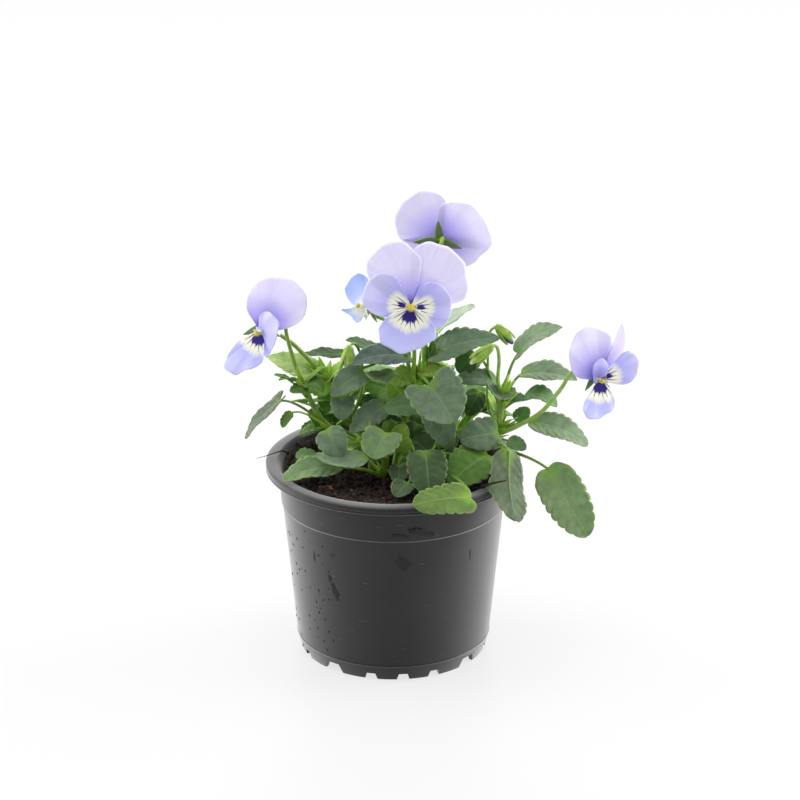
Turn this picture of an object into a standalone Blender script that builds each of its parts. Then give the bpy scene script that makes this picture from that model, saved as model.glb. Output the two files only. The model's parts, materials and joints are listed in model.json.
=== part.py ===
"""A horned violet in its black nursery pot, at natural size.

Units are metres, +Z is up, and the pot stands on z = 0. The front of the plant faces -Y.
The pot's axis stands a little to the left of the origin and behind it, because the plant leans out over
the pot to the right and the front, and the origin lies under the middle of the whole.

Spots on the plant are read from a picture taken from the front and a little above. A spot is given as
(across, down, back): its pixel in the 800 pixel picture, and how far it lies behind the pot's axis in
millimetres.
"""

import math
from collections import namedtuple

import bmesh
import bpy
from mathutils import Matrix, Vector

MM = 0.001
CLEARANCE = 0.35 * MM

# The pot's place: its axis, measured from the middle of the whole plant
POT_X = -15.3 * MM
POT_Y = 3.2 * MM

# The pot, a common 10.5 cm nursery pot
POT_HEIGHT = 83.0 * MM
RIM_RADIUS = 53.2 * MM
RIM_INNER_RADIUS = 47.9 * MM
RIM_DEPTH = 3.2 * MM
RIM_ROUND = 0.8 * MM
WALL = 1.1 * MM
BODY_TOP_RADIUS = 47.6 * MM
BODY_TOP_Z = 78.6 * MM
BAND_Z = 65.6 * MM
BAND_STEP = 0.5 * MM
BODY_FOOT_RADIUS = 40.7 * MM
FOOT_Z = 6.2 * MM
FOOT_RADIUS = 39.2 * MM
FOOT_WALL = 1.7 * MM
FLOOR_Z = 4.6 * MM
FLOOR_THICKNESS = 1.2 * MM
POT_SIDES = 28
WIDE_NOTCHES = (-39, 51, 141, 231)
WIDE_NOTCH_WIDTH = 9.0 * MM
WIDE_NOTCH_HEIGHT = 4.0 * MM
NARROW_NOTCHES = (25.6, 45.0, 64.4)
NARROW_NOTCH_WIDTH = 5.2 * MM
NARROW_NOTCH_HEIGHT = 2.8 * MM
DRAIN_RADIUS = 4.0 * MM
DRAIN_RING = 30.0 * MM

# The soil
SOIL_TOP = 76.2 * MM
SOIL_WAVE = 0.9 * MM
SOIL_SIDES = 18
SOIL_RINGS = 3
STEM_HOLE_DEPTH = 7.0 * MM
STEM_HOLE_SIDES = 7

# The plant
LEAF_THICKNESS = 0.7 * MM
PETAL_THICKNESS = 0.65 * MM
TOOTH_DEPTH = 0.17
LEAF_STALK_RADIUS = 0.85 * MM
LEAF_STALK_STEPS = 2
STALK_LANDING = (0.02, 0.03)
STALK_SINK = 0.07
STALK_TIP_RADIUS = 0.25 * MM
FLOWER_STALK_RADIUS = 1.05 * MM

# A bloom: the hub its petals grow from, the spur behind it, the eye before it and the calyx
PETAL_START = 0.1
HUB_RADIUS = 2.3 * MM
HUB_HALF = 1.7 * MM
SPUR_RADII = (1.0 * MM, 0.8 * MM)
SPUR_DROP = 1.2 * MM
EYE_LIFT = 0.3 * MM
EYE_RADIUS = 1.6 * MM
EYE_HALF = 0.9 * MM
CUP_RADIUS = 1.7 * MM
CUP_HALF = 1.2 * MM
CUP_RAISE = 0.9 * MM
SEPAL_WIDTH = 2.3 * MM
SEPAL_LEAN = 2.2 * MM
SEPAL_ANGLES = (88, 18, 163, -50, -129)

# A bud: its cup, and its four sepals round the closed petals
BUD_CUP_RADIUS = 1.6 * MM
BUD_CUP_HALF = 1.35 * MM
BUD_SEPAL_HALF_WIDTH = 1.5 * MM
BUD_SEPAL_REACH = 0.86
BUD_SEPAL_FIRST = 42
BUD_SEPAL_STEP = 93
BUD_PETAL_SHARE = 0.27

# The picture that the plant's spots are read from
PICTURE_MIDDLE = 400
PICTURE_FOCUS = 2900
VIEW_DISTANCE = 1200 * MM
VIEW_ELEVATION = math.radians(21)
VIEW_AIM = Vector((2.8, 0, 109.2)) * MM
VIEW_BACK = Vector((0, -math.cos(VIEW_ELEVATION), math.sin(VIEW_ELEVATION)))
VIEW_UP = Vector((0, math.sin(VIEW_ELEVATION), math.cos(VIEW_ELEVATION)))
VIEW_RIGHT = Vector((1, 0, 0))
EYE = VIEW_AIM + VIEW_BACK * VIEW_DISTANCE

Leaf = namedtuple(
    "Leaf", "at base tip width face lobe arch fold teeth widest shoulder",
    defaults=(0.12, 0.10, 8, 3, 0.42, 0.12),
)
Stalk = namedtuple("Stalk", "path radius", defaults=(FLOWER_STALK_RADIUS,))
Petal = namedtuple("Petal", "outline face layer lift cup")
Bloom = namedtuple("Bloom", "centre face up petals sepal spur angles", defaults=(SEPAL_ANGLES,))
Bud = namedtuple("Bud", "top tip width shoot")
Shoot = namedtuple("Shoot", "ground path radius leaves stalks")


def spot(across, down, back):
    """The place at a pixel of the picture, `back` millimetres behind the pot's axis."""
    ray = (
        VIEW_RIGHT * ((across - PICTURE_MIDDLE) / PICTURE_FOCUS)
        + VIEW_UP * ((PICTURE_MIDDLE - down) / PICTURE_FOCUS)
        - VIEW_BACK
    )
    return EYE + ray * ((back * MM - EYE.y) / ray.y)


def on_plane(across, down, origin, normal):
    """The place at a pixel of the picture, on a plane."""
    ray = (
        VIEW_RIGHT * ((across - PICTURE_MIDDLE) / PICTURE_FOCUS)
        + VIEW_UP * ((PICTURE_MIDDLE - down) / PICTURE_FOCUS)
        - VIEW_BACK
    )
    return EYE + ray * ((origin - EYE).dot(normal) / ray.dot(normal))


SHOOTS = {
    "shoot_left": Shoot(
        ground=(-9, 2),
        path=[(368, 458, 3), (345, 440, 2), (322, 420, 1), (311, 401, 1), (301, 382, 1)],
        radius=(1.7, 1.1),
        stalks=[Stalk([(301, 382, 1), (293, 358, 0), (287, 336, 0), (283, 322, 1)])],
        leaves=[
            Leaf(0.50, (279, 402, 0), (245, 438, -3), 13, (-7, -2, 7), lobe=0.28, arch=0.05, teeth=2),
            Leaf(0.45, (292, 412, -5), (282, 427, -6), 5.0, (-5, -6, 5), 0.0, 0.1, teeth=2),
            Leaf(0.85, (308, 388, -1), (290, 391, -3), 6.5, (0, -5, 9), 0.0, teeth=2),
            Leaf(0.92, (304, 384, 1), (324, 391, -2), 8, (3, -5, 8), 0.0, 0.3, teeth=2),
        ],
    ),
    "shoot_left_inner": Shoot(
        ground=(-6, 10),
        path=[(370, 442, 11), (348, 418, 11), (334, 395, 10), (326, 378, 8)],
        radius=(1.7, 1.3),
        stalks=[
            Stalk([(326, 378, 8), (310, 361, 8), (294, 345, 8), (280, 335, 8)], 1.25 * MM),
            Stalk([(350, 420, 11), (362, 390, 13), (361, 358, 13), (355, 344, 12), (349, 347, 9)], 0.8 * MM),
        ],
        leaves=[
            Leaf(0.95, (322, 376, 10), (268, 357, 12), 12, (1, -7, 6), 0.05, 0.12, teeth=3),
            Leaf(0.80, (345, 357, 18), (303, 354, 18), 13, (0, 1, 9), 0.05, 0.05, teeth=3),
            Leaf(0.70, (362, 376, 3), (329, 396, -4), 12, (-2, -7, 7), teeth=3),
            Leaf(0.50, (343, 396, 1), (341, 420, -7), 10.5, (1, -8, 4), teeth=2),
            Leaf(0.95, (382, 352, 16), (345, 339, 14), 12, (1, 1, 9), 0.05, 0.1, teeth=2),
            Leaf(0.30, (342, 418, 17), (327, 401, 16), 9, (-2, -7, 5), 0.05, teeth=2),
        ],
    ),
    "shoot_centre": Shoot(
        ground=(1, 5),
        path=[(398, 452, 6), (403, 425, 7), (406, 402, 8), (412, 385, 8), (424, 370, 9), (436, 357, 11)],
        radius=(2.0, 1.2),
        stalks=[
            Stalk([(410, 390, 8), (414, 364, 2), (414, 340, -5), (412, 318, -9.5), (411, 308, -11)]),
            Stalk([(424, 370, 9), (425, 348, 8), (431, 300, 6), (437, 262, 4), (441, 244, 4), (443, 238, 7)]),
            Stalk([(412, 385, 8), (408, 362, 7), (402, 340, 4), (388, 322, 2), (376, 316, 3)]),
        ],
        leaves=[
            Leaf(1.00, (430, 349, 9), (499, 332, 3), 18, (0, -6, 8), 0.08, 0.12, teeth=4),
            Leaf(1.00, (437, 332, 16), (475, 306, 18), 14, (-3, 0, 9), 0.05, 0.06, teeth=3),
            Leaf(0.80, (411, 357, 7), (352, 363, 1), 16.5, (0, -3, 9), 0.08, 0.12, teeth=4),
            Leaf(0.70, (394, 372, 2), (366, 374, -3), 9, (0, -3, 9), 0.0, -0.2, teeth=2),
            Leaf(0.62, (388, 404, 2), (352, 433, -6), 11, (-3, -8, 5), 0.05, teeth=3),
            Leaf(0.70, (418, 404, -1), (385, 410, -5), 10, (0, -7, 6), 0.1, teeth=2),
            Leaf(0.80, (424, 382, -7), (460, 421, -20), 21, (1, -8, 6), lobe=0.30, shoulder=0.22, teeth=4),
            Leaf(0.60, (438, 409, -4), (452, 453, -13), 13, (-1, -8, 4), 0.1, 0.15, 14, teeth=3),
            Leaf(0.30, (418, 424, 3), (404, 450, -2), 10, (0, -8, 4), 0.05, teeth=2),
            Leaf(0.35, (399, 430, 2), (377, 415, 4), 9, (0, -7, 6), 0.05, teeth=2),
        ],
    ),
    "shoot_right": Shoot(
        ground=(9, 1),
        path=[
            (430, 461, 0), (462, 452, 0), (484, 442, 0), (496, 428, 1), (500, 412, 2), (502, 398, 3)
        ],
        radius=(2.3, 1.8),
        stalks=[
            Stalk([(492, 436, 0), (515, 427, -2), (541, 412, -5), (560, 390, -8), (574, 371, -10)], 1.3 * MM),
            Stalk([(502, 398, 3), (498, 380, 1), (499, 360, -2), (497, 347, -3), (491, 346, -4.2)], 0.95 * MM),
            Stalk([(497, 424, 1), (488, 405, 9), (488, 370, 11), (489, 335, 11), (497, 326, 9.5)], 0.8 * MM),
        ],
        leaves=[
            Leaf(0.97, (515, 354, 7), (563, 326, 5), 15.5, (-4, -4, 8), 0.16, 0.12, teeth=3),
            Leaf(0.90, (521, 370, 12), (577, 376, 6), 16.5, (0, -2, 9), 0.05, 0.10, 12, teeth=4),
            Leaf(0.90, (524, 399, 6), (557, 405, 2), 12.5, (1, -3, 9), 0.05, 0.30, teeth=3),
            Leaf(0.97, (516, 391, 2), (486, 379, -3), 9, (1, -3, 9), 0.0, -0.32, 14, teeth=2),
            Leaf(0.85, (508, 399, 5), (526, 399, 4), 6, (0, -4, 9), 0.0, teeth=2),
            Leaf(0.70, (498, 433, -7), (460, 440, -14), 15, (-1, -8, 6), 0.08, shoulder=0.2, teeth=4),
            Leaf(0.80, (497, 382, 8), (456, 381, 6), 12, (0, -3, 9), 0.05, teeth=3),
            Leaf(0.72, (534, 427, -1), (588, 444, -6), 16, (1, -5, 8), 0.05, 0.12, teeth=4),
            Leaf(0.75, (516, 421, 5), (529, 408, 5), 7, (2, -7, 6), 0.0, teeth=2),
            Leaf(0.60, (545, 468, -9), (588, 536, -15), 19, (1, -9, 3), 0.10, 0.05, 6, 5),
            Leaf(0.62, (504, 447, -22), (514, 522, -45), 17, (-3, 7, 2), 0.05, 0.08, teeth=4),
            Leaf(0.66, (508, 440, -5), (526, 449, -8), 6.5, (1, -7, 6), 0.0, teeth=2),
            Leaf(0.90, (476, 354, 14), (458, 372, 12), 11, (1, -6, 7), 0.05, teeth=2),
        ],
    ),
    "shoot_front": Shoot(
        ground=(5, -6),
        path=[(420, 462, -9), (436, 456, -11)],
        radius=(1.9, 1.3),
        stalks=[],
        leaves=[
            Leaf(0.8, (424, 455, -18), (430, 499, -37), 15.5, (0, -5, 8), 0.08, 0.12, teeth=4),
            Leaf(1.0, (487, 457, -14), (450, 481, -27), 13.5, (1, -5, 8), 0.08, 0.1, teeth=4),
            Leaf(0.7, (466, 492, -46), (416, 503, -54), 21, (0, -3.5, 9), 0.18, 0.05, -4, 4, shoulder=0.2),
            Leaf(0.6, (400, 465, -17), (398, 484, -26), 8.5, (0, -5, 8), 0.05, teeth=2),
            Leaf(0.5, (408, 483, -27), (396, 497, -37), 10, (0, -4, 9), 0.05, teeth=2),
        ],
    ),
    "shoot_front_left": Shoot(
        ground=(-4, -6),
        path=[(385, 455, -8), (372, 449, -10), (356, 440, -11)],
        radius=(1.8, 1.2),
        stalks=[],
        leaves=[
            Leaf(0.75, (386, 433, -13), (373, 459, -24), 16.5, (-1, -6, 7), 0.2, 0.1, shoulder=0.2),
            Leaf(0.95, (326, 430, -13), (341, 457, -19), 13, (0, -8, 5), 0.05, 0.1, 20),
            Leaf(0.9, (366, 456, -19), (317, 456, -27), 12, (0, -2, 9), 0.05, -0.16, 14),
            Leaf(0.2, (340, 467, -19), (283, 479, -26), 15, (0, -2, 9), 0.05, 0.08, teeth=4),
            Leaf(0.5, (318, 457, -9), (296, 457, -13), 9, (0, -2, 9), 0.05, teeth=2),
        ],
    ),
    "shoot_back_left": Shoot(
        ground=(-12, 14),
        path=[(365, 436, 22), (352, 418, 28), (345, 404, 33)],
        radius=(1.7, 1.2),
        stalks=[],
        leaves=[
            Leaf(0.4, (318, 424, 20), (302, 436, 17), 8, (-2, 2, 9), 0.05, teeth=2),
            Leaf(0.6, (336, 404, 34), (322, 415, 48), 14, (-3, 4, 8), 0.1, 0.12, teeth=2),
            Leaf(0.8, (345, 386, 30), (325, 388, 34), 13, (-3, 2, 9), 0.1, 0.12, teeth=2),
            Leaf(1.0, (362, 390, 36), (352, 401, 51), 15, (-1, 6, 8), 0.15, 0.12, shoulder=0.2, teeth=2),
            Leaf(1.0, (373, 376, 26), (364, 369, 40), 13, (-1, 4, 9), 0.1, 0.14, teeth=2),
            Leaf(0.6, (379, 410, 22), (357, 398, 19), 9, (0, -7, 5), 0.05, teeth=2),
        ],
    ),
    "shoot_back": Shoot(
        ground=(4, 15),
        path=[(405, 432, 22), (412, 410, 27), (418, 390, 31)],
        radius=(1.9, 1.3),
        stalks=[],
        leaves=[
            Leaf(0.5, (395, 402, 32), (385, 412, 47), 14, (-1, 6, 7), 0.1, 0.12, teeth=2),
            Leaf(0.7, (428, 400, 34), (436, 412, 50), 15, (1, 6, 7), 0.15, 0.12, shoulder=0.2, teeth=2),
            Leaf(1.0, (404, 376, 32), (398, 372, 50), 16, (0, 5, 9), 0.15, 0.12, shoulder=0.2, teeth=2),
            Leaf(1.0, (434, 374, 27), (447, 371, 44), 14, (1, 4, 9), 0.1, 0.14, teeth=2),
            Leaf(0.8, (397, 394, 21), (362, 382, 18), 12, (0, -7, 6), 0.05, teeth=3),
        ],
    ),
    "shoot_back_right": Shoot(
        ground=(13, 9),
        path=[(438, 442, 15), (462, 427, 21), (476, 410, 25)],
        radius=(1.8, 1.2),
        stalks=[],
        leaves=[
            Leaf(0.6, (462, 408, 34), (466, 419, 49), 14, (1, 6, 7), 0.1, 0.12, teeth=2),
            Leaf(0.9, (478, 396, 22), (463, 387, 30), 12, (-1, 2, 9), 0.1, teeth=2),
            Leaf(1.0, (492, 398, 30), (505, 401, 45), 15, (2, 5, 8), 0.15, 0.12, shoulder=0.2, teeth=2),
            Leaf(1.0, (497, 416, 24), (519, 420, 34), 13, (3, 3, 8), 0.1, 0.12, teeth=2),
            Leaf(0.7, (480, 391, 17), (467, 415, 12), 10, (0, -8, 4), 0.05, teeth=2),
        ],
    ),
}

VIEWER = (0, -0.934, 0.358)

BLOOMS = {
    "bloom_front": Bloom(
        centre=(411, 308, -17),
        face=VIEWER,
        up=(0.12, 0.36, 0.93),
        sepal=8.5,
        spur=5,
        petals=[
            Petal(
                [(404, 305), (380, 292), (368, 276), (367, 263), (376, 248), (393, 241), (410, 246),
                 (421, 259), (420, 276), (415, 295)],
                VIEWER, -0.42, -1.7, 0.5),
            Petal(
                [(410, 298), (408, 262), (417, 246), (432, 242), (448, 246), (462, 260), (468, 276),
                 (468, 292), (458, 302), (425, 307)],
                VIEWER, -1.25, -2.0, 0.5),
            Petal(
                [(408, 300), (402, 288), (394, 276), (383, 273), (370, 279), (362, 295), (367, 309),
                 (382, 317), (398, 314)],
                VIEWER, 0.20, -1.2, 0.5),
            Petal(
                [(414, 300), (420, 288), (430, 282), (443, 286), (452, 302), (449, 319), (437, 328),
                 (422, 318)],
                VIEWER, 0.32, -1.1, 0.5),
            Petal(
                [(401, 309), (386, 318), (379, 330), (382, 344), (400, 353), (418, 349), (434, 340),
                 (434, 326), (420, 310)],
                VIEWER, 0.95, 0.6, 0.6),
        ],
    ),
    "bloom_back": Bloom(
        centre=(441, 240, 15),
        face=(0.25, 0.93, 0.1),
        up=(0.05, 0.0, 1.0),
        sepal=10,
        spur=5,
        petals=[
            Petal(
                [(436, 243), (403, 240), (396, 224), (400, 206), (412, 194), (428, 190), (444, 196),
                 (448, 215), (445, 236)],
                (0.22, 0.93, 0.0), -0.6, -1.0, -0.4),
            Petal(
                [(437, 238), (438, 212), (447, 202), (464, 200), (482, 212), (492, 231), (488, 246),
                 (449, 246)],
                (0.3, 0.92, 0.0), -1.2, -1.8, -0.4),
            Petal(
                [(436, 238), (415, 238), (401, 243), (403, 258), (420, 266), (437, 250)],
                (0.1, 0.95, 0.1), 0.2, 1.2, 0.0),
            Petal(
                [(446, 237), (486, 238), (489, 248), (479, 258), (466, 267), (450, 262), (442, 248)],
                (0.35, 0.9, 0.1), 0.2, 1.2, 0.0),
            Petal(
                [(436, 244), (421, 260), (423, 281), (440, 290), (457, 281), (459, 261), (446, 244)],
                (0.15, 0.96, 0.1), 0.95, 2.4, 0.0),
        ],
    ),
    "bloom_left": Bloom(
        centre=(261, 331, -5),
        face=(-0.5, -0.85, -0.05),
        up=(-0.1, 0.1, 1.0),
        sepal=8,
        spur=5,
        petals=[
            Petal(
                [(257, 327), (247, 307), (249, 292), (257, 281), (270, 278), (281, 286), (281, 304),
                 (267, 326)],
                (-0.45, -0.85, 0.1), -0.5, 0.8, -0.4),
            Petal(
                [(261, 325), (266, 298), (273, 283), (287, 279), (300, 287), (307, 304), (303, 319),
                 (290, 328), (270, 331)],
                (-0.25, -0.93, 0.15), -0.9, -1.0, -0.4),
            Petal(
                [(258, 327), (250, 322), (247, 330), (251, 337), (258, 336)],
                (-0.95, -0.3, 0.1), 0.2, 0.0, 0.0),
            Petal(
                [(259, 328), (262, 314), (270, 313), (278, 325), (275, 344), (267, 358), (261, 345)],
                (-0.75, -0.6, -0.1), 0.2, -0.6, -0.5),
            Petal(
                [(255, 333), (240, 340), (231, 352), (226, 365), (236, 375), (248, 370), (262, 363),
                 (265, 346), (263, 334)],
                (-0.4, -0.85, 0.35), 0.8, 1.0, 0.4),
        ],
    ),
    "bloom_right": Bloom(
        centre=(599, 379, -11),
        face=(0.35, -0.92, 0.0),
        up=(-0.05, 0.1, 1.0),
        sepal=8.5,
        spur=5,
        angles=(88, -22, 163, -51, -129),
        petals=[
            Petal(
                [(594, 380), (577, 377), (572, 362), (573, 345), (582, 331), (597, 327), (612, 335),
                 (614, 350), (606, 374)],
                (0.35, -0.9, 0.2), -0.6, -1.8, 0.6),
            Petal(
                [(624, 323), (625, 345), (622, 364), (611, 374)],
                (0.75, -0.65, 0.1), -0.1, -0.6, 0.0),
            Petal(
                [(596, 378), (592, 370), (596, 362), (602, 359), (608, 366), (605, 374)],
                (0.0, -0.85, 0.4), 0.3, 0.6, 0.0),
            Petal(
                [(622, 353), (629, 351), (637, 357), (638, 372), (627, 384), (610, 383)],
                (0.0, -0.95, 0.3), 0.2, 0.6, 0.4),
            Petal(
                [(596, 382), (587, 397), (582, 407), (584, 416), (593, 420), (604, 416), (614, 406),
                 (611, 392), (606, 380)],
                (0.3, -0.85, 0.45), 0.8, 0.8, 0.0),
        ],
    ),
    "bloom_small": Bloom(
        centre=(364, 308, 1),
        face=(-0.7, -0.5, 0.5),
        up=(0.1, 0.2, 1.0),
        sepal=5,
        spur=3,
        petals=[
            Petal(
                [(366, 306), (369, 292), (367, 278), (358, 274), (348, 281), (345, 292), (350, 303),
                 (361, 310)],
                (-0.5, -0.8, 0.3), -0.4, 0.5, 0.5),
            Petal(
                [(361, 304), (350, 309), (342, 311), (351, 316), (356, 323), (362, 320), (366, 310)],
                (-0.2, -0.8, 0.6), 0.5, 1.0, 0.3),
        ],
    ),
}

# Which shoot each bloom's stalk grows from: its calyx is one growth with that stalk
BLOOM_SHOOT = {
    "bloom_front": "shoot_centre",
    "bloom_back": "shoot_centre",
    "bloom_small": "shoot_centre",
    "bloom_left": "shoot_left",
    "bloom_right": "shoot_right",
}

BUDS = {
    "bud_left": Bud((349, 348, 9), (348, 372, 7), 4.6, "shoot_left_inner"),
    "bud_right": Bud((498, 327, 9), (513, 344, 7), 4.4, "shoot_right"),
    "bud_centre": Bud((491, 347, -4), (470, 364, -5), 4.4, "shoot_right"),
}


# Materials

def material(name, colour, roughness):
    """A plain surface; the colour is given as it looks, and turned to linear light here."""
    made = bpy.data.materials.new(name)
    made.use_nodes = True
    linear = [(c / 12.92 if c < 0.04045 else ((c + 0.055) / 1.055) ** 2.4) for c in colour]
    shader = made.node_tree.nodes["Principled BSDF"]
    shader.inputs["Base Color"].default_value = (*linear, 1)
    shader.inputs["Roughness"].default_value = roughness
    shader.inputs["Metallic"].default_value = 0
    made.diffuse_color = (*linear, 1)
    return made


# Meshes

def clear_scene():
    for obj in list(bpy.data.objects):
        bpy.data.objects.remove(obj)


def add_object(name, mesh, collection):
    obj = bpy.data.objects.new(name, mesh)
    collection.objects.link(obj)
    return obj


def mesh_from(name, build):
    """A mesh made by a function that fills a bmesh."""
    mesh = bpy.data.meshes.new(name)
    bm = bmesh.new()
    build(bm)
    bm.to_mesh(mesh)
    bm.free()
    return mesh


def applied(obj):
    """The object's mesh with its modifiers applied."""
    graph = bpy.context.evaluated_depsgraph_get()
    return bpy.data.meshes.new_from_object(obj.evaluated_get(graph))


def welded(obj):
    """The object's mesh with its modifiers applied and its loose caps welded."""
    mesh = applied(obj)
    bm = bmesh.new()
    bm.from_mesh(mesh)
    bmesh.ops.remove_doubles(bm, verts=bm.verts, dist=0.001 * MM)
    bm.to_mesh(mesh)
    bm.free()
    return mesh


def sheet(name, columns, rows, place, thickness, collection):
    """A thin closed blade: a grid laid out by place(s, t), with s from 0 to 1 and t from -1 to 1.

    The grid is split into triangles before it gets its thickness, so both faces are split alike. A blade
    of two columns has a midrib, which keeps every second point, at the notches between the teeth.
    """
    def build(bm):
        bmesh.ops.create_grid(bm, x_segments=rows, y_segments=columns, size=1)
        middle = [v for v in bm.verts if abs(v.co.y) < 0.01 and columns == 2]
        middle.sort(key=lambda v: v.co.x)
        for vertex in bm.verts:
            vertex.co = place((vertex.co.x + 1) / 2, vertex.co.y)
        bmesh.ops.triangulate(bm, faces=bm.faces, quad_method="SHORT_EDGE")
        for kept, spare in zip(middle[0::2], middle[1::2]):
            bmesh.ops.pointmerge(bm, verts=[kept, spare], merge_co=kept.co.copy())

    obj = add_object(name, mesh_from(name, build), collection)
    solid = obj.modifiers.new("thickness", "SOLIDIFY")
    solid.thickness = thickness
    solid.offset = 0
    obj.data = welded(obj)
    obj.modifiers.clear()
    return obj


def taper(first, last, count):
    """Radii that narrow evenly from the first to the last."""
    return [first + (last - first) * number / (count - 1) for number in range(count)]


def tube(name, points, radii, sides_extra, collection):
    """A round stem along points, with a radius for each."""
    curve = bpy.data.curves.new(name, "CURVE")
    curve.dimensions = "3D"
    curve.bevel_depth = 1.0
    curve.bevel_resolution = sides_extra
    curve.use_fill_caps = True
    line = curve.splines.new("POLY")
    line.points.add(len(points) - 1)
    for point, place, radius in zip(line.points, points, radii):
        point.co = (*place, 1)
        point.radius = radius
    guide = add_object(name + "_guide", curve, collection)
    obj = add_object(name, welded(guide), collection)
    bpy.data.objects.remove(guide)
    return obj


def along_path(path, share):
    """The place at a share of a path's length."""
    lengths = [(b - a).length for a, b in zip(path, path[1:])]
    left = share * sum(lengths)
    for start, end, length in zip(path, path[1:], lengths):
        if left <= length:
            return start.lerp(end, left / length)
        left -= length
    return path[-1].copy()


def keep_largest(mesh):
    """Drops the loose scraps that a join leaves."""
    bm = bmesh.new()
    bm.from_mesh(mesh)
    left = set(bm.faces)
    bodies = []
    while left:
        reached = {left.pop()}
        waiting = list(reached)
        while waiting:
            for edge in waiting.pop().edges:
                beside = left.intersection(edge.link_faces)
                left -= beside
                reached |= beside
                waiting += beside
        bodies.append(reached)
    bodies.sort(key=len)
    for scrap in bodies[:-1]:
        bmesh.ops.delete(bm, geom=list(scrap), context="FACES")
    bm.to_mesh(mesh)
    bm.free()


def fuse(name, body, pieces):
    """One closed solid from a body and the pieces that grow from it."""
    group = bpy.data.collections.new(name + "_pieces")
    for piece in pieces:
        for holder in list(piece.users_collection):
            holder.objects.unlink(piece)
        group.objects.link(piece)
    union = body.modifiers.new("union", "BOOLEAN")
    union.operation = "UNION"
    union.operand_type = "COLLECTION"
    union.collection = group
    union.solver = "MANIFOLD"
    body.data = applied(body)
    keep_largest(body.data)
    body.modifiers.clear()
    for piece in pieces:
        bpy.data.objects.remove(piece)
    bpy.data.collections.remove(group)
    body.name = name
    return body


# The pot

def turned(name, profile, sides, collection):
    """A profile of (radius, height) points turned round Z."""
    def build(bm):
        corners = [bm.verts.new((r, 0, z)) for r, z in profile]
        for start, end in zip(corners, corners[1:]):
            bm.edges.new((start, end))
        if profile[0][0] > 0:
            bm.edges.new((corners[-1], corners[0]))

    obj = add_object(name, mesh_from(name, build), collection)
    screw = obj.modifiers.new("turn", "SCREW")
    screw.steps = sides
    screw.render_steps = sides
    screw.use_merge_vertices = True
    screw.merge_threshold = 0.00001
    return obj


def body_radius(z):
    """Outer radius of the pot's straight tapering side."""
    share = (z - FOOT_Z) / (BODY_TOP_Z - FOOT_Z)
    return BODY_FOOT_RADIUS + (BODY_TOP_RADIUS - BODY_FOOT_RADIUS) * share


def pot_profile():
    lip_top = POT_HEIGHT
    lip_bottom = POT_HEIGHT - RIM_DEPTH
    floor_top = FLOOR_Z + FLOOR_THICKNESS
    return [
        (RIM_INNER_RADIUS, lip_top),
        (RIM_RADIUS - RIM_ROUND, lip_top),
        (RIM_RADIUS, lip_top - RIM_ROUND),
        (RIM_RADIUS, lip_bottom),
        (RIM_RADIUS - RIM_ROUND, lip_bottom - RIM_ROUND / 2),
        (BODY_TOP_RADIUS, BODY_TOP_Z),
        (body_radius(BAND_Z) + BAND_STEP, BAND_Z),
        (body_radius(BAND_Z), BAND_Z - BAND_STEP),
        (BODY_FOOT_RADIUS, FOOT_Z),
        (FOOT_RADIUS, 0),
        (FOOT_RADIUS - FOOT_WALL, 0),
        (FOOT_RADIUS - FOOT_WALL, FLOOR_Z),
        (0, FLOOR_Z),
        (0, floor_top),
        (body_radius(floor_top) - WALL, floor_top),
        (RIM_INNER_RADIUS - WALL, BODY_TOP_Z),
    ]


def spoke(degrees, radius):
    """A place on the pot's floor: 0 degrees is the front, and angles grow towards the right."""
    angle = math.radians(degrees)
    return Vector((radius * math.sin(angle), -radius * math.cos(angle), 0))


def notch_cutter(name, degrees, width, height, collection):
    """A wedge that cuts a notch with slanted ends into the foot, from outside to inside."""
    narrowing = 0.7

    def build(bm):
        made = bmesh.ops.create_cube(bm, size=1)
        for vertex in made["verts"]:
            top = vertex.co.z > 0
            vertex.co.x *= width * (narrowing if top else 1.15)
            vertex.co.y *= 8 * MM
            vertex.co.z = height if top else -1 * MM
        bmesh.ops.rotate(bm, verts=bm.verts, matrix=Matrix.Rotation(math.radians(degrees), 3, "Z"))
        bmesh.ops.translate(bm, verts=bm.verts, vec=spoke(degrees, FOOT_RADIUS))

    return add_object(name, mesh_from(name, build), collection)


def round_cutter(name, place, radius, depth, sides, collection):
    def build(bm):
        bmesh.ops.create_cone(
            bm, cap_ends=True, segments=sides, radius1=radius, radius2=radius, depth=depth
        )
        bmesh.ops.translate(bm, verts=bm.verts, vec=place)

    return add_object(name, mesh_from(name, build), collection)


def cut_away(obj, cutters):
    """Cuts the cutters out of the object, and removes them."""
    group = bpy.data.collections.new("cutters")
    for cutter in cutters:
        for holder in list(cutter.users_collection):
            holder.objects.unlink(cutter)
        group.objects.link(cutter)
    cut = obj.modifiers.new("cut", "BOOLEAN")
    cut.operation = "DIFFERENCE"
    cut.operand_type = "COLLECTION"
    cut.collection = group
    obj.data = welded(obj)
    obj.modifiers.clear()
    for cutter in cutters:
        bpy.data.objects.remove(cutter)
    bpy.data.collections.remove(group)


def make_pot(collection, surface):
    pot = turned("pot", pot_profile(), POT_SIDES, collection)
    cutters = []
    for wide in WIDE_NOTCHES:
        cutters.append(
            notch_cutter("notch", wide, WIDE_NOTCH_WIDTH, WIDE_NOTCH_HEIGHT, collection)
        )
        for step in NARROW_NOTCHES:
            cutters.append(
                notch_cutter("notch", wide + step, NARROW_NOTCH_WIDTH, NARROW_NOTCH_HEIGHT, collection)
            )
        hole = spoke(wide, DRAIN_RING) + Vector((0, 0, FLOOR_Z))
        cutters.append(round_cutter("drain", hole, DRAIN_RADIUS, 6 * MM, 12, collection))
    cut_away(pot, cutters)
    pot.data.materials.append(surface)
    return pot


# The soil

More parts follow.
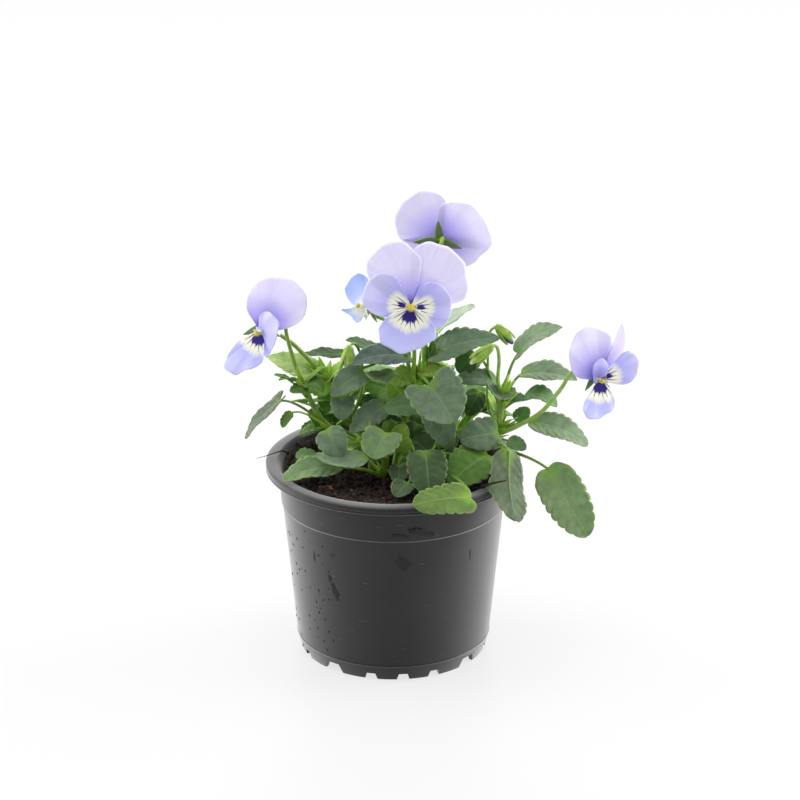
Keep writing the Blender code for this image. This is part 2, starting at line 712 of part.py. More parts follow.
def soil_height(x, y):
    """Height of the uneven soil at a place."""
    wave = math.sin(x / (7 * MM) + 1) * math.cos(y / (9 * MM)) + 0.6 * math.sin((x + 2 * y) / (5 * MM))
    return SOIL_TOP + SOIL_WAVE * wave * 0.6


def make_soil(collection, surface, stems):
    top_radius = RIM_INNER_RADIUS - WALL - CLEARANCE - 0.6 * MM
    floor = FLOOR_Z + FLOOR_THICKNESS + CLEARANCE
    floor_radius = body_radius(floor) - WALL - CLEARANCE - 0.3 * MM
    rings = [(r * top_radius / SOIL_RINGS, SOIL_TOP) for r in range(SOIL_RINGS + 1)]
    soil = turned("soil", rings + [(floor_radius, floor), (0, floor)], SOIL_SIDES, collection)
    soil.data = welded(soil)
    soil.modifiers.clear()
    for vertex in soil.data.vertices:
        if vertex.co.z > SOIL_TOP - MM and vertex.co.to_2d().length < top_radius - MM:
            vertex.co.z = soil_height(vertex.co.x, vertex.co.y)
    cutters = [
        round_cutter(
            "stem_hole", Vector((x, y, SOIL_TOP)), radius + CLEARANCE + 0.15 * MM,
            2 * STEM_HOLE_DEPTH, STEM_HOLE_SIDES, collection,
        )
        for x, y, radius in stems
    ]
    cut_away(soil, cutters)
    soil.data.materials.append(surface)
    return soil


# Leaves

def half_width(leaf, s):
    """Half the blade's smooth width at a share of its length."""
    if s < leaf.widest:
        reach = (leaf.widest - s) / (leaf.widest + leaf.shoulder)
    else:
        reach = (s - leaf.widest) / (1.03 - leaf.widest)
    return leaf.width * MM / 2 * math.sqrt(1 - reach * reach)


def crenation(leaf, s):
    """The rounded teeth of the edge: 1 at the top of a tooth, less in the notch between two."""
    return 1 - TOOTH_DEPTH * (1 - abs(math.sin(math.pi * leaf.teeth * s)) ** 0.6)


def blade_place(leaf):
    """A function that gives the place on a leaf's blade, and the blade's directions."""
    base = spot(*leaf.base)
    tip = spot(*leaf.tip)
    along = (tip - base).normalized()
    length = (tip - base).length
    facing = Vector(leaf.face)
    facing = (facing - along * facing.dot(along)).normalized()
    across = facing.cross(along)
    slope = math.tan(math.radians(leaf.fold))

    def place(s, t):
        side = half_width(leaf, s) * crenation(leaf, s) * t
        back = leaf.lobe * abs(t) ** 1.5 * (1 - s) ** 2
        bow = leaf.arch * 4 * s * (1 - s) * length
        return base + along * (length * (s - back)) + across * side + facing * (bow + slope * abs(side))

    return place, base, along


def leaf_stalk_path(start, heading, base, along, inside):
    """A leaf stalk leaves the stem, bends over, and runs on a little way inside the blade."""
    reach = (base - start).length
    lead = (heading * 0.35 + (base - start).normalized() * 0.65) * reach
    land = (along * 0.7 + (base - start).normalized() * 0.3) * reach
    points = []
    for number in range(LEAF_STALK_STEPS + 1):
        t = number / LEAF_STALK_STEPS
        points.append(
            start * (2 * t ** 3 - 3 * t ** 2 + 1) + lead * (t ** 3 - 2 * t ** 2 + t)
            + base * (3 * t ** 2 - 2 * t ** 3) + land * (t ** 3 - t ** 2)
        )
    return points + [inside]


def make_leaf(name, leaf, stem_path, collection):
    place, base, along = blade_place(leaf)
    blade = sheet(name, 2, 2 * leaf.teeth, place, LEAF_THICKNESS, collection)
    start = along_path(stem_path, leaf.at)
    heading = (along_path(stem_path, min(1, leaf.at + 0.05)) - along_path(stem_path, leaf.at - 0.05))
    thin = LEAF_STALK_RADIUS * min(1, 0.5 + leaf.width / 24)
    foot = place(*STALK_LANDING)
    points = leaf_stalk_path(start, heading.normalized(), foot, along, place(STALK_SINK, 0))
    radii = taper(thin * 1.1, thin * 0.65, len(points) - 1) + [STALK_TIP_RADIUS]
    stalk = tube(name + "_stalk", points, radii, 0, collection)
    return [blade, stalk]


# Blooms

def bloom_frame(bloom):
    """The bloom's centre, the way it faces and its top."""
    facing = Vector(bloom.face).normalized()
    top = Vector(bloom.up)
    top = (top - facing * top.dot(facing)).normalized()
    return spot(*bloom.centre), facing, top


def petal_place(petal, centre):
    """A function that gives the place on a petal: s from its claw to its rim, t across it."""
    normal = Vector(petal.face).normalized()
    rim = [on_plane(across, down, centre, normal) - centre for across, down in petal.outline]
    size = max(edge.length for edge in rim)

    def place(s, t):
        number = (t + 1) / 2 * (len(rim) - 1)
        first = min(int(number), len(rim) - 2)
        flat = rim[first].lerp(rim[first + 1], number - first) * (PETAL_START + (1 - PETAL_START) * s)
        reach = flat.length / size
        lift = petal.layer + petal.lift * reach * reach + petal.cup * 4 * reach * (reach - 1)
        return centre + flat + normal * (lift * MM)

    return place


def egg(name, centre, axis, radius, half_length, collection, rings=4, segments=6):
    """An egg-shaped solid along an axis."""
    def build(bm):
        bmesh.ops.create_uvsphere(bm, u_segments=segments, v_segments=rings, radius=1)
        bmesh.ops.scale(bm, verts=bm.verts, vec=(radius, radius, half_length))
        turn = Vector((0, 0, 1)).rotation_difference(axis).to_matrix()
        bmesh.ops.rotate(bm, verts=bm.verts, matrix=turn)
        bmesh.ops.translate(bm, verts=bm.verts, vec=centre)

    return add_object(name, mesh_from(name, build), collection)


def make_petals(name, bloom, collection, surface):
    centre, facing, top = bloom_frame(bloom)
    hub = egg(name + "_hub", centre, facing, HUB_RADIUS, HUB_HALF, collection)
    pieces = [
        sheet(f"{name}_petal_{number}", len(petal.outline) - 1, 2, petal_place(petal, centre),
              PETAL_THICKNESS, collection)
        for number, petal in enumerate(bloom.petals)
    ]
    root = centre - top * SPUR_DROP
    end = root - facing * (bloom.spur * MM + HUB_HALF) - top * (SPUR_DROP + 0.3 * MM)
    pieces.append(tube(name + "_spur", [root, end], SPUR_RADII, 0, collection))
    petals = fuse(name + "_petals", hub, pieces)
    petals.data.materials.append(surface)
    return petals


def make_eye(name, bloom, collection, surface):
    centre, facing, top = bloom_frame(bloom)
    place = centre + facing * (HUB_HALF + CLEARANCE + EYE_LIFT + EYE_HALF)
    eye = egg(name + "_eye", place, facing, EYE_RADIUS, EYE_HALF, collection)
    eye.data.materials.append(surface)
    return eye


def sepal_place(root, outward, facing, length, width):
    """A narrow pointed blade that leans back a little behind the petals."""
    across = facing.cross(outward)

    def place(s, t):
        side = width / 2 * (1 - s * s) ** 0.5 if s < 0.95 else width / 10
        return root + outward * (length * s) + across * (side * t) - facing * (SEPAL_LEAN * s * s)

    return place


def calyx_pieces(name, bloom, collection):
    """The green cup and five sepals behind a bloom; the cup is where the stalk's end sits."""
    centre, facing, top = bloom_frame(bloom)
    right = top.cross(facing)
    cup = centre - facing * (HUB_HALF + CLEARANCE + CUP_HALF) + top * CUP_RAISE
    pieces = [egg(name + "_cup", cup, facing, CUP_RADIUS, CUP_HALF, collection, 3)]
    for number, degrees in enumerate(bloom.angles):
        angle = math.radians(degrees)
        outward = right * math.cos(angle) + top * math.sin(angle)
        place = sepal_place(cup - facing * 0.7 * MM, outward, facing, bloom.sepal * MM, SEPAL_WIDTH)
        pieces.append(sheet(f"{name}_sepal_{number}", 1, 2, place, LEAF_THICKNESS, collection))
    return pieces, cup, facing


def stalk_piece(name, path, radius, end, collection):
    points = [spot(*place) for place in path]
    if end:
        points.append(end)
    return tube(name, points, taper(radius * 1.15, radius * 0.85, len(points)), 0, collection)


# Buds

def bud_frame(bud):
    top = spot(*bud.top)
    tip = spot(*bud.tip)
    return top, (tip - top).normalized(), (tip - top).length


def bud_sepals(name, bud, collection):
    """The green cup and the sepals that hug a bud's petals."""
    top, axis, length = bud_frame(bud)
    pieces = [egg(name + "_cup", top, axis, BUD_CUP_RADIUS, BUD_CUP_HALF, collection)]
    side = axis.cross(Vector(VIEWER)).normalized()
    out = bud.width * MM / 2
    for number in range(4):
        turn = Matrix.Rotation(math.radians(BUD_SEPAL_FIRST + BUD_SEPAL_STEP * number), 3, axis)
        outward = turn @ side
        across = axis.cross(outward)

        def place(s, t, outward=outward, across=across):
            swell = out * (0.30 + 0.90 * math.sin(math.pi * min(1, s + 0.1) * 0.62))
            edge = BUD_SEPAL_HALF_WIDTH * (1 - s * s) ** 0.5 if s < 0.95 else 0.35 * MM
            return top + axis * (length * BUD_SEPAL_REACH * s) + outward * swell + across * (edge * t)

        pieces.append(sheet(f"{name}_sepal_{number}", 1, 2, place, LEAF_THICKNESS, collection))
    return pieces


def make_bud_petals(name, bud, collection, surface):
    top, axis, length = bud_frame(bud)
    start = BUD_CUP_HALF + CLEARANCE
    half = (length - start) / 2
    middle = top + axis * (start + half)
    petals = egg(name + "_petals", middle, axis, bud.width * MM * BUD_PETAL_SHARE, half, collection, 5)
    petals.data.materials.append(surface)
    return petals


# The whole plant

def make_shoot(name, shoot, collection, surface):
    """One leafy stem with its leaves, its flower stalks and the green parts of its blooms and buds."""
    start = Vector((shoot.ground[0] * MM, shoot.ground[1] * MM, SOIL_TOP - STEM_HOLE_DEPTH + 0.6 * MM))
    rise = start + Vector((0, 0, STEM_HOLE_DEPTH + 2 * MM))
    path = [start, rise] + [spot(*place) for place in shoot.path]
    radii = taper(shoot.radius[0] * MM, shoot.radius[1] * MM, len(path))
    stem = tube(name + "_stem", path, radii, 1, collection)
    pieces = []
    for number, leaf in enumerate(shoot.leaves):
        pieces += make_leaf(f"{name}_leaf_{number}", leaf, path, collection)
    ends = [None] * len(shoot.stalks)
    blooms = [key for key, owner in BLOOM_SHOOT.items() if owner == name]
    for number, key in enumerate(blooms):
        made, cup, facing = calyx_pieces(key, BLOOMS[key], collection)
        pieces += made
        ends[number] = cup
    for number, stalk in enumerate(shoot.stalks):
        pieces.append(
            stalk_piece(f"{name}_stalk_{number}", stalk.path, stalk.radius, ends[number], collection)
        )
    for key, bud in BUDS.items():
        if bud.shoot == name:
            pieces += bud_sepals(key, bud, collection)
    fused = fuse(name, stem, pieces)
    fused.data.materials.append(surface)
    return fused


def main():
    clear_scene()
    plant = bpy.data.collections.new("potted_horned_violet")
    bpy.context.scene.collection.children.link(plant)
    plastic = material("black_plastic", (0.17, 0.17, 0.18), 0.45)
    earth = material("peat_soil", (0.13, 0.10, 0.08), 0.95)
    leafy = material("violet_leaf", (0.36, 0.46, 0.33), 0.55)
    lilac = material("petal_lilac", (0.78, 0.75, 0.95), 0.6)
    yellow = material("eye_yellow", (0.87, 0.76, 0.15), 0.5)

    make_pot(plant, plastic)
    stems = [(s.ground[0] * MM, s.ground[1] * MM, s.radius[0] * MM) for s in SHOOTS.values()]
    make_soil(plant, earth, stems)
    for name, shoot in SHOOTS.items():
        make_shoot(name, shoot, plant, leafy)
    for name, bloom in BLOOMS.items():
        make_petals(name, bloom, plant, lilac)
        make_eye(name, bloom, plant, yellow)
    for name, bud in BUDS.items():
        make_bud_petals(name, bud, plant, lilac)

    for obj in plant.objects:
        obj.data.transform(Matrix.Translation((POT_X, POT_Y, 0)))
        obj.data.shade_smooth()
        obj.data.set_sharp_from_angle(angle=math.radians(40))


main()
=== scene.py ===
# %% [markdown]
# # A potted horned violet
# A horned violet is a small bushy plant: leafy stems rise from a crown in the soil, each leaf sits on
# a thin stalk, and the blooms nod on long stalks of their own. Everything here is in metres and +Z is
# up. The solids of the plant and its pot come in first, and each is then replaced by a finer piece
# that keeps its form, with the teeth, veins, markings and hairs that the eye looks for.

import json
import math
import random
from collections import namedtuple

import bmesh
import bpy
from mathutils import Matrix, Vector, noise

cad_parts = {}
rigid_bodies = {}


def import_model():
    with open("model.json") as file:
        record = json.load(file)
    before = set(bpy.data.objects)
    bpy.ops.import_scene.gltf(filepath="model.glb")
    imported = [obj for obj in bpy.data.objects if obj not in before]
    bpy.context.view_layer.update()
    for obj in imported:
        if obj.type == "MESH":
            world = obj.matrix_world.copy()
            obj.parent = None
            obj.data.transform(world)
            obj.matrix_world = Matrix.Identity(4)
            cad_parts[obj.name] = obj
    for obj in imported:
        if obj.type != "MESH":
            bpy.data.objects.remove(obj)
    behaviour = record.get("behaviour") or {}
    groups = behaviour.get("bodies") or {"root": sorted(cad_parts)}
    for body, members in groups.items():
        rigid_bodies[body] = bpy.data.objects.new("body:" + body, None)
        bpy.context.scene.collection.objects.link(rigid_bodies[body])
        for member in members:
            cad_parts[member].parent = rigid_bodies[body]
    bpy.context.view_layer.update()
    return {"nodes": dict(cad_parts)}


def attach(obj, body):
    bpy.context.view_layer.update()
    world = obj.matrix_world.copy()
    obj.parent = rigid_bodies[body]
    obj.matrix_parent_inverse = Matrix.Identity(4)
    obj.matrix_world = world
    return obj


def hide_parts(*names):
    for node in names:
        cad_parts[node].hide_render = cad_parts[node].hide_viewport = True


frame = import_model()
MM = 0.001
print("solids:", len(frame["nodes"]))

# %% [markdown]
# ## Where the plant's spots come from
# The real plant was measured in a picture taken from the front and a little above. A spot is therefore
# written as (across, down, back): its pixel in the 800 pixel picture and how many millimetres it lies
# behind the pot's axis. One function turns that into a place in space, by following the pixel's ray
# until it is that far back. The camera at the end stands at the same point, so a spot lands on its
# pixel.

# %% The picture and its rays
POT_X = -15.3 * MM
POT_Y = 3.2 * MM
PICTURE_SIZE = 800
PICTURE_MIDDLE = PICTURE_SIZE / 2
PICTURE_FOCUS = 2900
VIEW_DISTANCE = 1200 * MM
VIEW_ELEVATION = math.radians(21)
VIEW_AIM = Vector((2.8 * MM + POT_X, POT_Y, 109.2 * MM))
VIEW_BACK = Vector((0, -math.cos(VIEW_ELEVATION), math.sin(VIEW_ELEVATION)))
VIEW_UP = Vector((0, math.sin(VIEW_ELEVATION), math.cos(VIEW_ELEVATION)))
VIEW_RIGHT = Vector((1, 0, 0))
EYE = VIEW_AIM + VIEW_BACK * VIEW_DISTANCE


def ray_of(across, down):
    """The direction from the eye through a pixel of the picture."""
    side = VIEW_RIGHT * ((across - PICTURE_MIDDLE) / PICTURE_FOCUS)
    rise = VIEW_UP * ((PICTURE_MIDDLE - down) / PICTURE_FOCUS)
    return side + rise - VIEW_BACK


def spot(across, down, back):
    """The place at a pixel, `back` millimetres behind the pot's axis."""
    ray = ray_of(across, down)
    return EYE + ray * ((back * MM + POT_Y - EYE.y) / ray.y)


def on_plane(across, down, origin, normal):
    """The place at a pixel, on a plane."""
    ray = ray_of(across, down)
    return EYE + ray * ((origin - EYE).dot(normal) / ray.dot(normal))


print("the eye stands at, in mm:", [round(c / MM, 1) for c in EYE])

# %% [markdown]
# ## The stems and their leaves
# Each shoot grows from the ground in the crown, at (right, back) of the pot's axis in millimetres. A
# leaf says at which share of its stem it grows, where its blade begins and ends, how wide it is, which
# way its upper side faces, and its tone. `lobe` pulls the two sides back past the stalk, as on a heart
# shaped leaf, `arch` bends the blade over its length, `fold` raises its sides like an open book, `widest`
# and `shoulder` say where it is widest and how full its base is, and `point` makes the tip more acute. A
# `bare` leaf has lost its stipules. The small young leaves of a shoot are only counted here: a rule with
# a fixed seed places them round its stem.

# %% The shoots
Leaf = namedtuple("Leaf", "at base tip width face tone lobe arch fold widest shoulder point bare",
                  defaults=("grey", 0.12, 0.10, 8, 0.42, 0.10, 0.3, False))
Stalk = namedtuple("Stalk", "path radius", defaults=(1.05,))
Shoot = namedtuple("Shoot", "ground path radius leaves stalks tint young_leaves young_tones",
                   defaults=((), "7DA330", 7, ("lit", "young", "glow")))

SHOOTS = {}
SHOOTS["shoot_left"] = Shoot(
    ground=(-9, 2),
    path=[(368, 458, 3), (345, 440, 2), (322, 420, 1), (311, 401, 1), (301, 382, 1)],
    radius=(1.7, 1.1),
    tint="72932B",
    young_tones=("lit", "young", "lit"),
    stalks=[Stalk([(301, 382, 1), (293, 358, 0), (287, 336, 0), (283, 322, 1)])],
    leaves=[
        Leaf(0.50, (280, 400, 0), (245, 438, -3), 9.5, (-7, -2.3, 7), "ash", lobe=0.32, arch=0.05),
        Leaf(0.45, (292, 412, -5), (282, 427, -6), 5.0, (-5, -6, 5), "lit", 0.0, 0.1),
        Leaf(0.85, (308, 388, -1), (290, 391, -3), 6.5, (0, -5, 9), "lit", 0.0),
        Leaf(0.92, (304, 384, 1), (324, 391, -2), 8, (3, -5, 8), "lit", 0.0, 0.3),
        Leaf(0.30, (328, 428, 6), (309, 410, 6), 9.5, (2, -6, 6), "lit", 0.05),
    ],
)
SHOOTS["shoot_left_inner"] = Shoot(
    ground=(-6, 10),
    path=[(370, 442, 11), (348, 418, 11), (334, 395, 10), (326, 378, 8)],
    radius=(1.7, 1.3),
    tint="72932B",
    stalks=[
        Stalk([(326, 378, 8), (310, 361, 8), (294, 345, 8), (280, 335, 8)], 1.25),
        Stalk([(350, 420, 11), (362, 390, 13), (361, 358, 13), (355, 344, 12), (349, 347, 9)], 0.8),
    ],
    leaves=[
        Leaf(0.95, (322, 376, 10), (268, 357, 12), 11, (1, -7, 6), "straw", 0.05, 0.12, point=1),
        Leaf(0.97, (311, 380, 6), (329, 392, 6), 11, (1, -7, 6), "glow", 0.05),
        Leaf(0.60, (334, 404, 9), (318, 396, 9), 10, (-1, -7, 5), "young", 0.05),
        Leaf(0.80, (347, 355, 18), (302, 354, 18), 9, (0, -1, 9), "dim", 0.05, 0.03, point=1),
        Leaf(0.70, (364, 372, 3), (331, 396, -4), 12.5, (-2, -7, 7), "sage", point=1),
        Leaf(0.50, (343, 396, 1), (341, 420, -7), 10.5, (1, -8, 4), "sage"),
        Leaf(0.95, (385, 357, 16), (346, 340, 14), 12, (1, -1, 9), "dark", 0.05, 0.06, point=1),
        Leaf(0.30, (342, 418, 17), (327, 401, 16), 9, (-2, -7, 5), "dark", 0.05),
    ],
)
SHOOTS["shoot_centre"] = Shoot(
    ground=(1, 5),
    path=[(398, 452, 6), (403, 425, 7), (406, 402, 8), (412, 385, 8), (424, 370, 9), (436, 357, 11)],
    radius=(2.0, 1.2),
    stalks=[
        Stalk([(410, 390, 8), (414, 364, 2), (414, 340, -5), (412, 318, -9.5), (411, 308, -11)]),
        Stalk([(424, 370, 9), (425, 348, 8), (431, 300, 6), (437, 262, 4), (441, 244, 4), (443, 238, 7)]),
        Stalk([(412, 385, 8), (408, 362, 7), (402, 340, 4), (388, 322, 2), (376, 316, 3)]),
    ],
    leaves=[
        Leaf(1.00, (430, 356, 9), (499, 338, 3), 16, (0, -4.6, 9), "sage", 0.08, 0.09, point=1),
        Leaf(1.00, (437, 332, 16), (475, 306, 18), 14, (-3, 0, 9), "pale", 0.05, 0.06),
        Leaf(0.80, (411, 358, 7), (352, 364, 1), 16.5, (0, -2.5, 9), "blue", 0.08, 0.12, point=1),
        Leaf(0.70, (394, 372, 2), (366, 374, -3), 9, (0, -3, 9), "fresh", 0.0, -0.2),
        Leaf(0.62, (386, 405, 2), (350, 433, -6), 11, (-3, -8, 5), "grey", 0.05, point=1),
        Leaf(0.70, (418, 404, -1), (385, 410, -5), 10, (0, -7, 6), "green", 0.1),
        Leaf(0.80, (429, 385, -8), (454, 422, -20), 24, (1, -8, 6), "grey", lobe=0.35, shoulder=0.2),
        Leaf(0.60, (436, 407, -4), (452, 454, -13), 14.5, (-1, -8, 4), "grey", 0.1, 0.15, 16, 0.3,
             point=2),
        # The five dark leaves below are painted shade: they fill the shaded heart of the clump with dark
        # green.
        Leaf(0.30, (418, 424, 3), (404, 450, -2), 10, (0, -8, 4), "dark", 0.05),
        Leaf(0.35, (399, 430, 2), (377, 415, 4), 9, (0, -7, 6), "dark", 0.05),
        Leaf(0.45, (419, 410, 12), (441, 442, 8), 16, (1, -7, 5), "dark", 0.1),
        Leaf(0.50, (404, 404, 16), (384, 400, 18), 13, (-1, -6, 7), "dark", 0.1),
        Leaf(0.20, (412, 440, -2), (436, 458, -10), 13, (1, -7, 5), "dark", 0.1),
        Leaf(0.50, (398, 440, -3), (405, 424, -5), 8, (0, -8, 4), "glow", 0.05),
        Leaf(0.50, (392, 434, -2), (385, 421, -4), 8, (0, -7, 5), "young", 0.05),
        Leaf(0.40, (401, 454, -6), (409, 438, -8), 7, (1, -8, 4), "glow", 0.05),
        Leaf(0.90, (405, 393, 12), (387, 386, 12), 12, (-1, -7, 5), "glow", 0.1),
        Leaf(0.95, (412, 384, 14), (400, 371, 12), 10, (0, -7, 6), "glow", 0.05),
        Leaf(0.95, (420, 378, 14), (433, 368, 13), 10, (1, -7, 6), "young", 0.05),
        Leaf(1.0, (418, 371, 8), (441, 372, 6), 8, (0, -5, 9), "glow", 0.05),
        Leaf(1.0, (411, 372, 8), (394, 383, 6), 10, (0, -6, 8), "glow", 0.05),
    ],
)
SHOOTS["shoot_right"] = Shoot(
    ground=(9, 1),
    path=[
        (430, 461, 0), (462, 452, 0), (484, 442, 0), (496, 428, 1), (500, 412, 2), (502, 398, 3)
    ],
    radius=(2.3, 1.8),
    # A paler stem tint: painted light, where the light catches this stem.
    tint="93B25A",
    stalks=[
        Stalk([(492, 436, 0), (515, 427, -2), (541, 412, -5), (560, 390, -8), (574, 371, -10)], 1.15),
        Stalk([(502, 398, 3), (498, 380, 1), (499, 360, -2), (497, 347, -3), (491, 346, -4.2)], 0.95),
        Stalk([(497, 424, 1), (488, 405, 9), (488, 370, 11), (489, 335, 11), (497, 326, 9.5)], 0.8),
    ],
    leaves=[
        Leaf(0.97, (518, 354, 7), (562, 327, 5), 14.5, (-4, -2.2, 8), "silver", 0.16, 0.14, point=1),
        Leaf(0.90, (521, 374, 12), (577, 380, 6), 15, (0, -2, 9), "silver", 0.05, 0.08, 12, point=1),
        Leaf(0.90, (524, 398, 6), (557, 406, 2), 10.5, (1, -3, 9), "green", 0.05, 0.30),
        Leaf(0.97, (516, 391, 2), (486, 379, -3), 9, (1, -3, 9), "grey", 0.0, -0.32, 14),
        Leaf(0.85, (508, 399, 5), (526, 399, 4), 6, (0, -4, 9), "green", 0.0),
        Leaf(0.70, (498, 433, -7), (460, 440, -14), 15, (-1, -8, 6), "sage", 0.08, shoulder=0.2),
        Leaf(0.80, (497, 382, 8), (456, 381, 6), 12, (0, -3, 9), "grey", 0.05),
        Leaf(0.72, (530, 422, -1), (588, 445, -6), 14, (1, -3.6, 8), "silver", 0.05, 0.12),
        Leaf(0.75, (516, 421, 5), (529, 408, 5), 7, (2, -7, 6), "green", 0.0),
        Leaf(0.60, (547, 468, -9), (588, 536, -15), 19.5, (1, -9, 3), "bright", 0.06, 0.05, 6),
        Leaf(0.62, (509, 450, -22), (517, 521, -45), 18.5, (-3, 7, 2), "deep", 0.05, 0.08, 8, 0.55),
        Leaf(0.66, (508, 440, -5), (526, 449, -8), 6.5, (1, -7, 6), "green", 0.0),
        Leaf(0.90, (476, 354, 14), (458, 372, 12), 11, (1, -6, 7), "dark", 0.05),
    ],
)
SHOOTS["shoot_front"] = Shoot(
    ground=(5, -6),
    path=[(420, 462, -9), (436, 456, -11)],
    radius=(1.9, 1.3),
    leaves=[
        Leaf(0.8, (425, 451, -18), (430, 499, -37), 17, (0, -5.5, 8), "dim", 0.05, 0.12),
        Leaf(1.0, (488, 455, -14), (449, 484, -29), 19, (1, -5.5, 8), "lit", 0.12, 0.1),
        Leaf(0.7, (470, 497, -46), (414, 505, -55), 18, (0, -3.7, 9), "rim", 0.12, 0.05, -4,
             shoulder=0.2),
        Leaf(0.6, (400, 465, -17), (398, 484, -26), 8.5, (0, -5, 8), "dark", 0.05),
        Leaf(0.5, (408, 483, -27), (396, 497, -37), 10, (0, -4, 9), "dark", 0.05),
    ],
)
SHOOTS["shoot_front_left"] = Shoot(
    ground=(-4, -6),
    path=[(385, 455, -8), (372, 449, -10), (356, 440, -11)],
    radius=(1.8, 1.2),
    young_leaves=5,
    leaves=[
        Leaf(0.75, (386, 433, -13), (373, 459, -24), 16.5, (-1, -6, 7), "fresh", 0.2, 0.1, shoulder=0.2),
        Leaf(0.60, (326, 430, -13), (341, 457, -19), 13, (0, -8, 5), "grey", 0.05, 0.1, 20, bare=True),
        Leaf(0.9, (366, 456, -19), (317, 456, -27), 12, (0, -2, 9), "grey", 0.05, -0.16, 14, bare=True),
        Leaf(0.2, (340, 467, -19), (283, 479, -26), 15, (0, -2, 9), "fresh", 0.05, 0.08),
        Leaf(0.5, (318, 457, -9), (296, 457, -13), 9, (0, -2, 9), "green", 0.05),
    ],
)
SHOOTS["shoot_back_left"] = Shoot(
    ground=(-12, 14),
    path=[(365, 436, 22), (352, 418, 28), (345, 404, 33)],
    radius=(1.7, 1.2),
    leaves=[
        Leaf(0.4, (318, 424, 20), (302, 436, 17), 8, (-1, -3, 8), "dim", 0.05),
        Leaf(0.6, (336, 404, 34), (322, 415, 48), 14, (-3, 4, 8), "green", 0.1, 0.12),
        Leaf(0.8, (345, 386, 30), (325, 388, 34), 13, (-3, 2, 9), "lit", 0.1, 0.12),
        Leaf(1.0, (362, 390, 36), (352, 401, 51), 15, (-1, 6, 8), "green", 0.15, 0.12, shoulder=0.2),
        Leaf(1.0, (373, 376, 26), (364, 369, 40), 13, (-1, 4, 9), "green", 0.1, 0.14),
        Leaf(0.6, (379, 410, 22), (357, 398, 19), 9, (0, -7, 5), "dark", 0.05),
    ],
)
SHOOTS["shoot_back"] = Shoot(
    ground=(4, 15),
    path=[(405, 432, 22), (412, 410, 27), (418, 390, 31)],
    radius=(1.9, 1.3),
    leaves=[
        Leaf(0.5, (395, 402, 32), (385, 412, 47), 14, (-1, 6, 7), "green", 0.1, 0.12),
        Leaf(0.7, (428, 400, 34), (436, 412, 50), 15, (1, 6, 7), "grey", 0.15, 0.12, shoulder=0.2),
        Leaf(1.0, (404, 376, 32), (398, 372, 50), 16, (0, 5, 9), "green", 0.15, 0.12, shoulder=0.2),
        Leaf(1.0, (434, 374, 27), (447, 371, 44), 14, (1, 4, 9), "green", 0.1, 0.14),
        Leaf(0.8, (397, 394, 21), (362, 382, 18), 12, (0, -7, 6), "lit", 0.05),
    ],
)
SHOOTS["shoot_back_right"] = Shoot(
    ground=(13, 9),
    path=[(438, 442, 15), (462, 427, 21), (476, 410, 25)],
    radius=(1.8, 1.2),
    leaves=[
        Leaf(0.6, (462, 408, 34), (466, 419, 49), 14, (1, 6, 7), "green", 0.1, 0.12),
        Leaf(0.9, (478, 396, 22), (463, 387, 30), 12, (-1, 2, 9), "lit", 0.1),
        Leaf(1.0, (492, 398, 30), (505, 401, 45), 15, (2, 5, 8), "green", 0.15, 0.12, shoulder=0.2),
        Leaf(1.0, (497, 416, 24), (519, 420, 34), 13, (3, 3, 8), "grey", 0.1, 0.12),
        Leaf(0.7, (480, 391, 17), (467, 415, 12), 10, (0, -8, 4), "dark", 0.05),
    ],
)
print("leaves:", sum(len(shoot.leaves) for shoot in SHOOTS.values()))

# %% [markdown]
# ## The blooms and the buds
# A horned violet has five petals: two upper ones that stand behind, one at each side, and a lower one
# that carries the markings and the horn. Each petal is an outline of picture pixels on its own tilted
# plane through the bloom's centre. `layer` is how far it lies before or behind the centre, `lift` bends
# its rim, and `cup` hollows it. The part is upper, side or lower, which decides its colouring. The
# `angles` say where the five sepals point, and each one's share of the full length.

# %% The blooms and the buds
Petal = namedtuple("Petal", "part face layer lift cup outline")
Bloom = namedtuple("Bloom", "centre face up petals sepal spur eye angles",
                   defaults=(1, ((88, 1), (18, 1), (163, 1), (-50, 1), (-129, 1))))
Bud = namedtuple("Bud", "top tip width shoot flare", defaults=(0,))
VIEWER = (0, -0.934, 0.358)

BLOOMS = {}
BLOOMS["bloom_front"] = Bloom(
    centre=(411, 308, -17),
    face=VIEWER,
    up=(0.12, 0.36, 0.93),
    sepal=8.5,
    spur=5,
    petals=[
        Petal("upper", VIEWER, -0.42, -1.7, 0.5, [
            (404, 305), (380, 292), (368, 276), (367, 263), (376, 248), (393, 241), (410, 246),
            (421, 259), (420, 276), (415, 295)]),
        Petal("upper", VIEWER, -1.25, -2.0, 0.5, [
            (410, 298), (408, 262), (417, 246), (432, 242), (448, 246), (462, 260), (468, 276),
            (468, 292), (458, 302), (425, 307)]),
        Petal("side", VIEWER, 0.20, -1.2, 0.5, [
            (408, 300), (402, 288), (394, 276), (383, 273), (370, 279), (362, 295), (367, 309),
            (382, 317), (398, 314)]),
        Petal("side", VIEWER, 0.32, -1.1, 0.5, [
            (414, 300), (420, 288), (430, 282), (443, 286), (452, 302), (449, 319), (437, 328),
            (422, 318)]),
        Petal("lower", VIEWER, 0.95, 0.6, 0.6, [
            (401, 309), (386, 318), (379, 330), (382, 344), (400, 353), (418, 349), (434, 340),
            (434, 326), (420, 310)]),
    ],
)
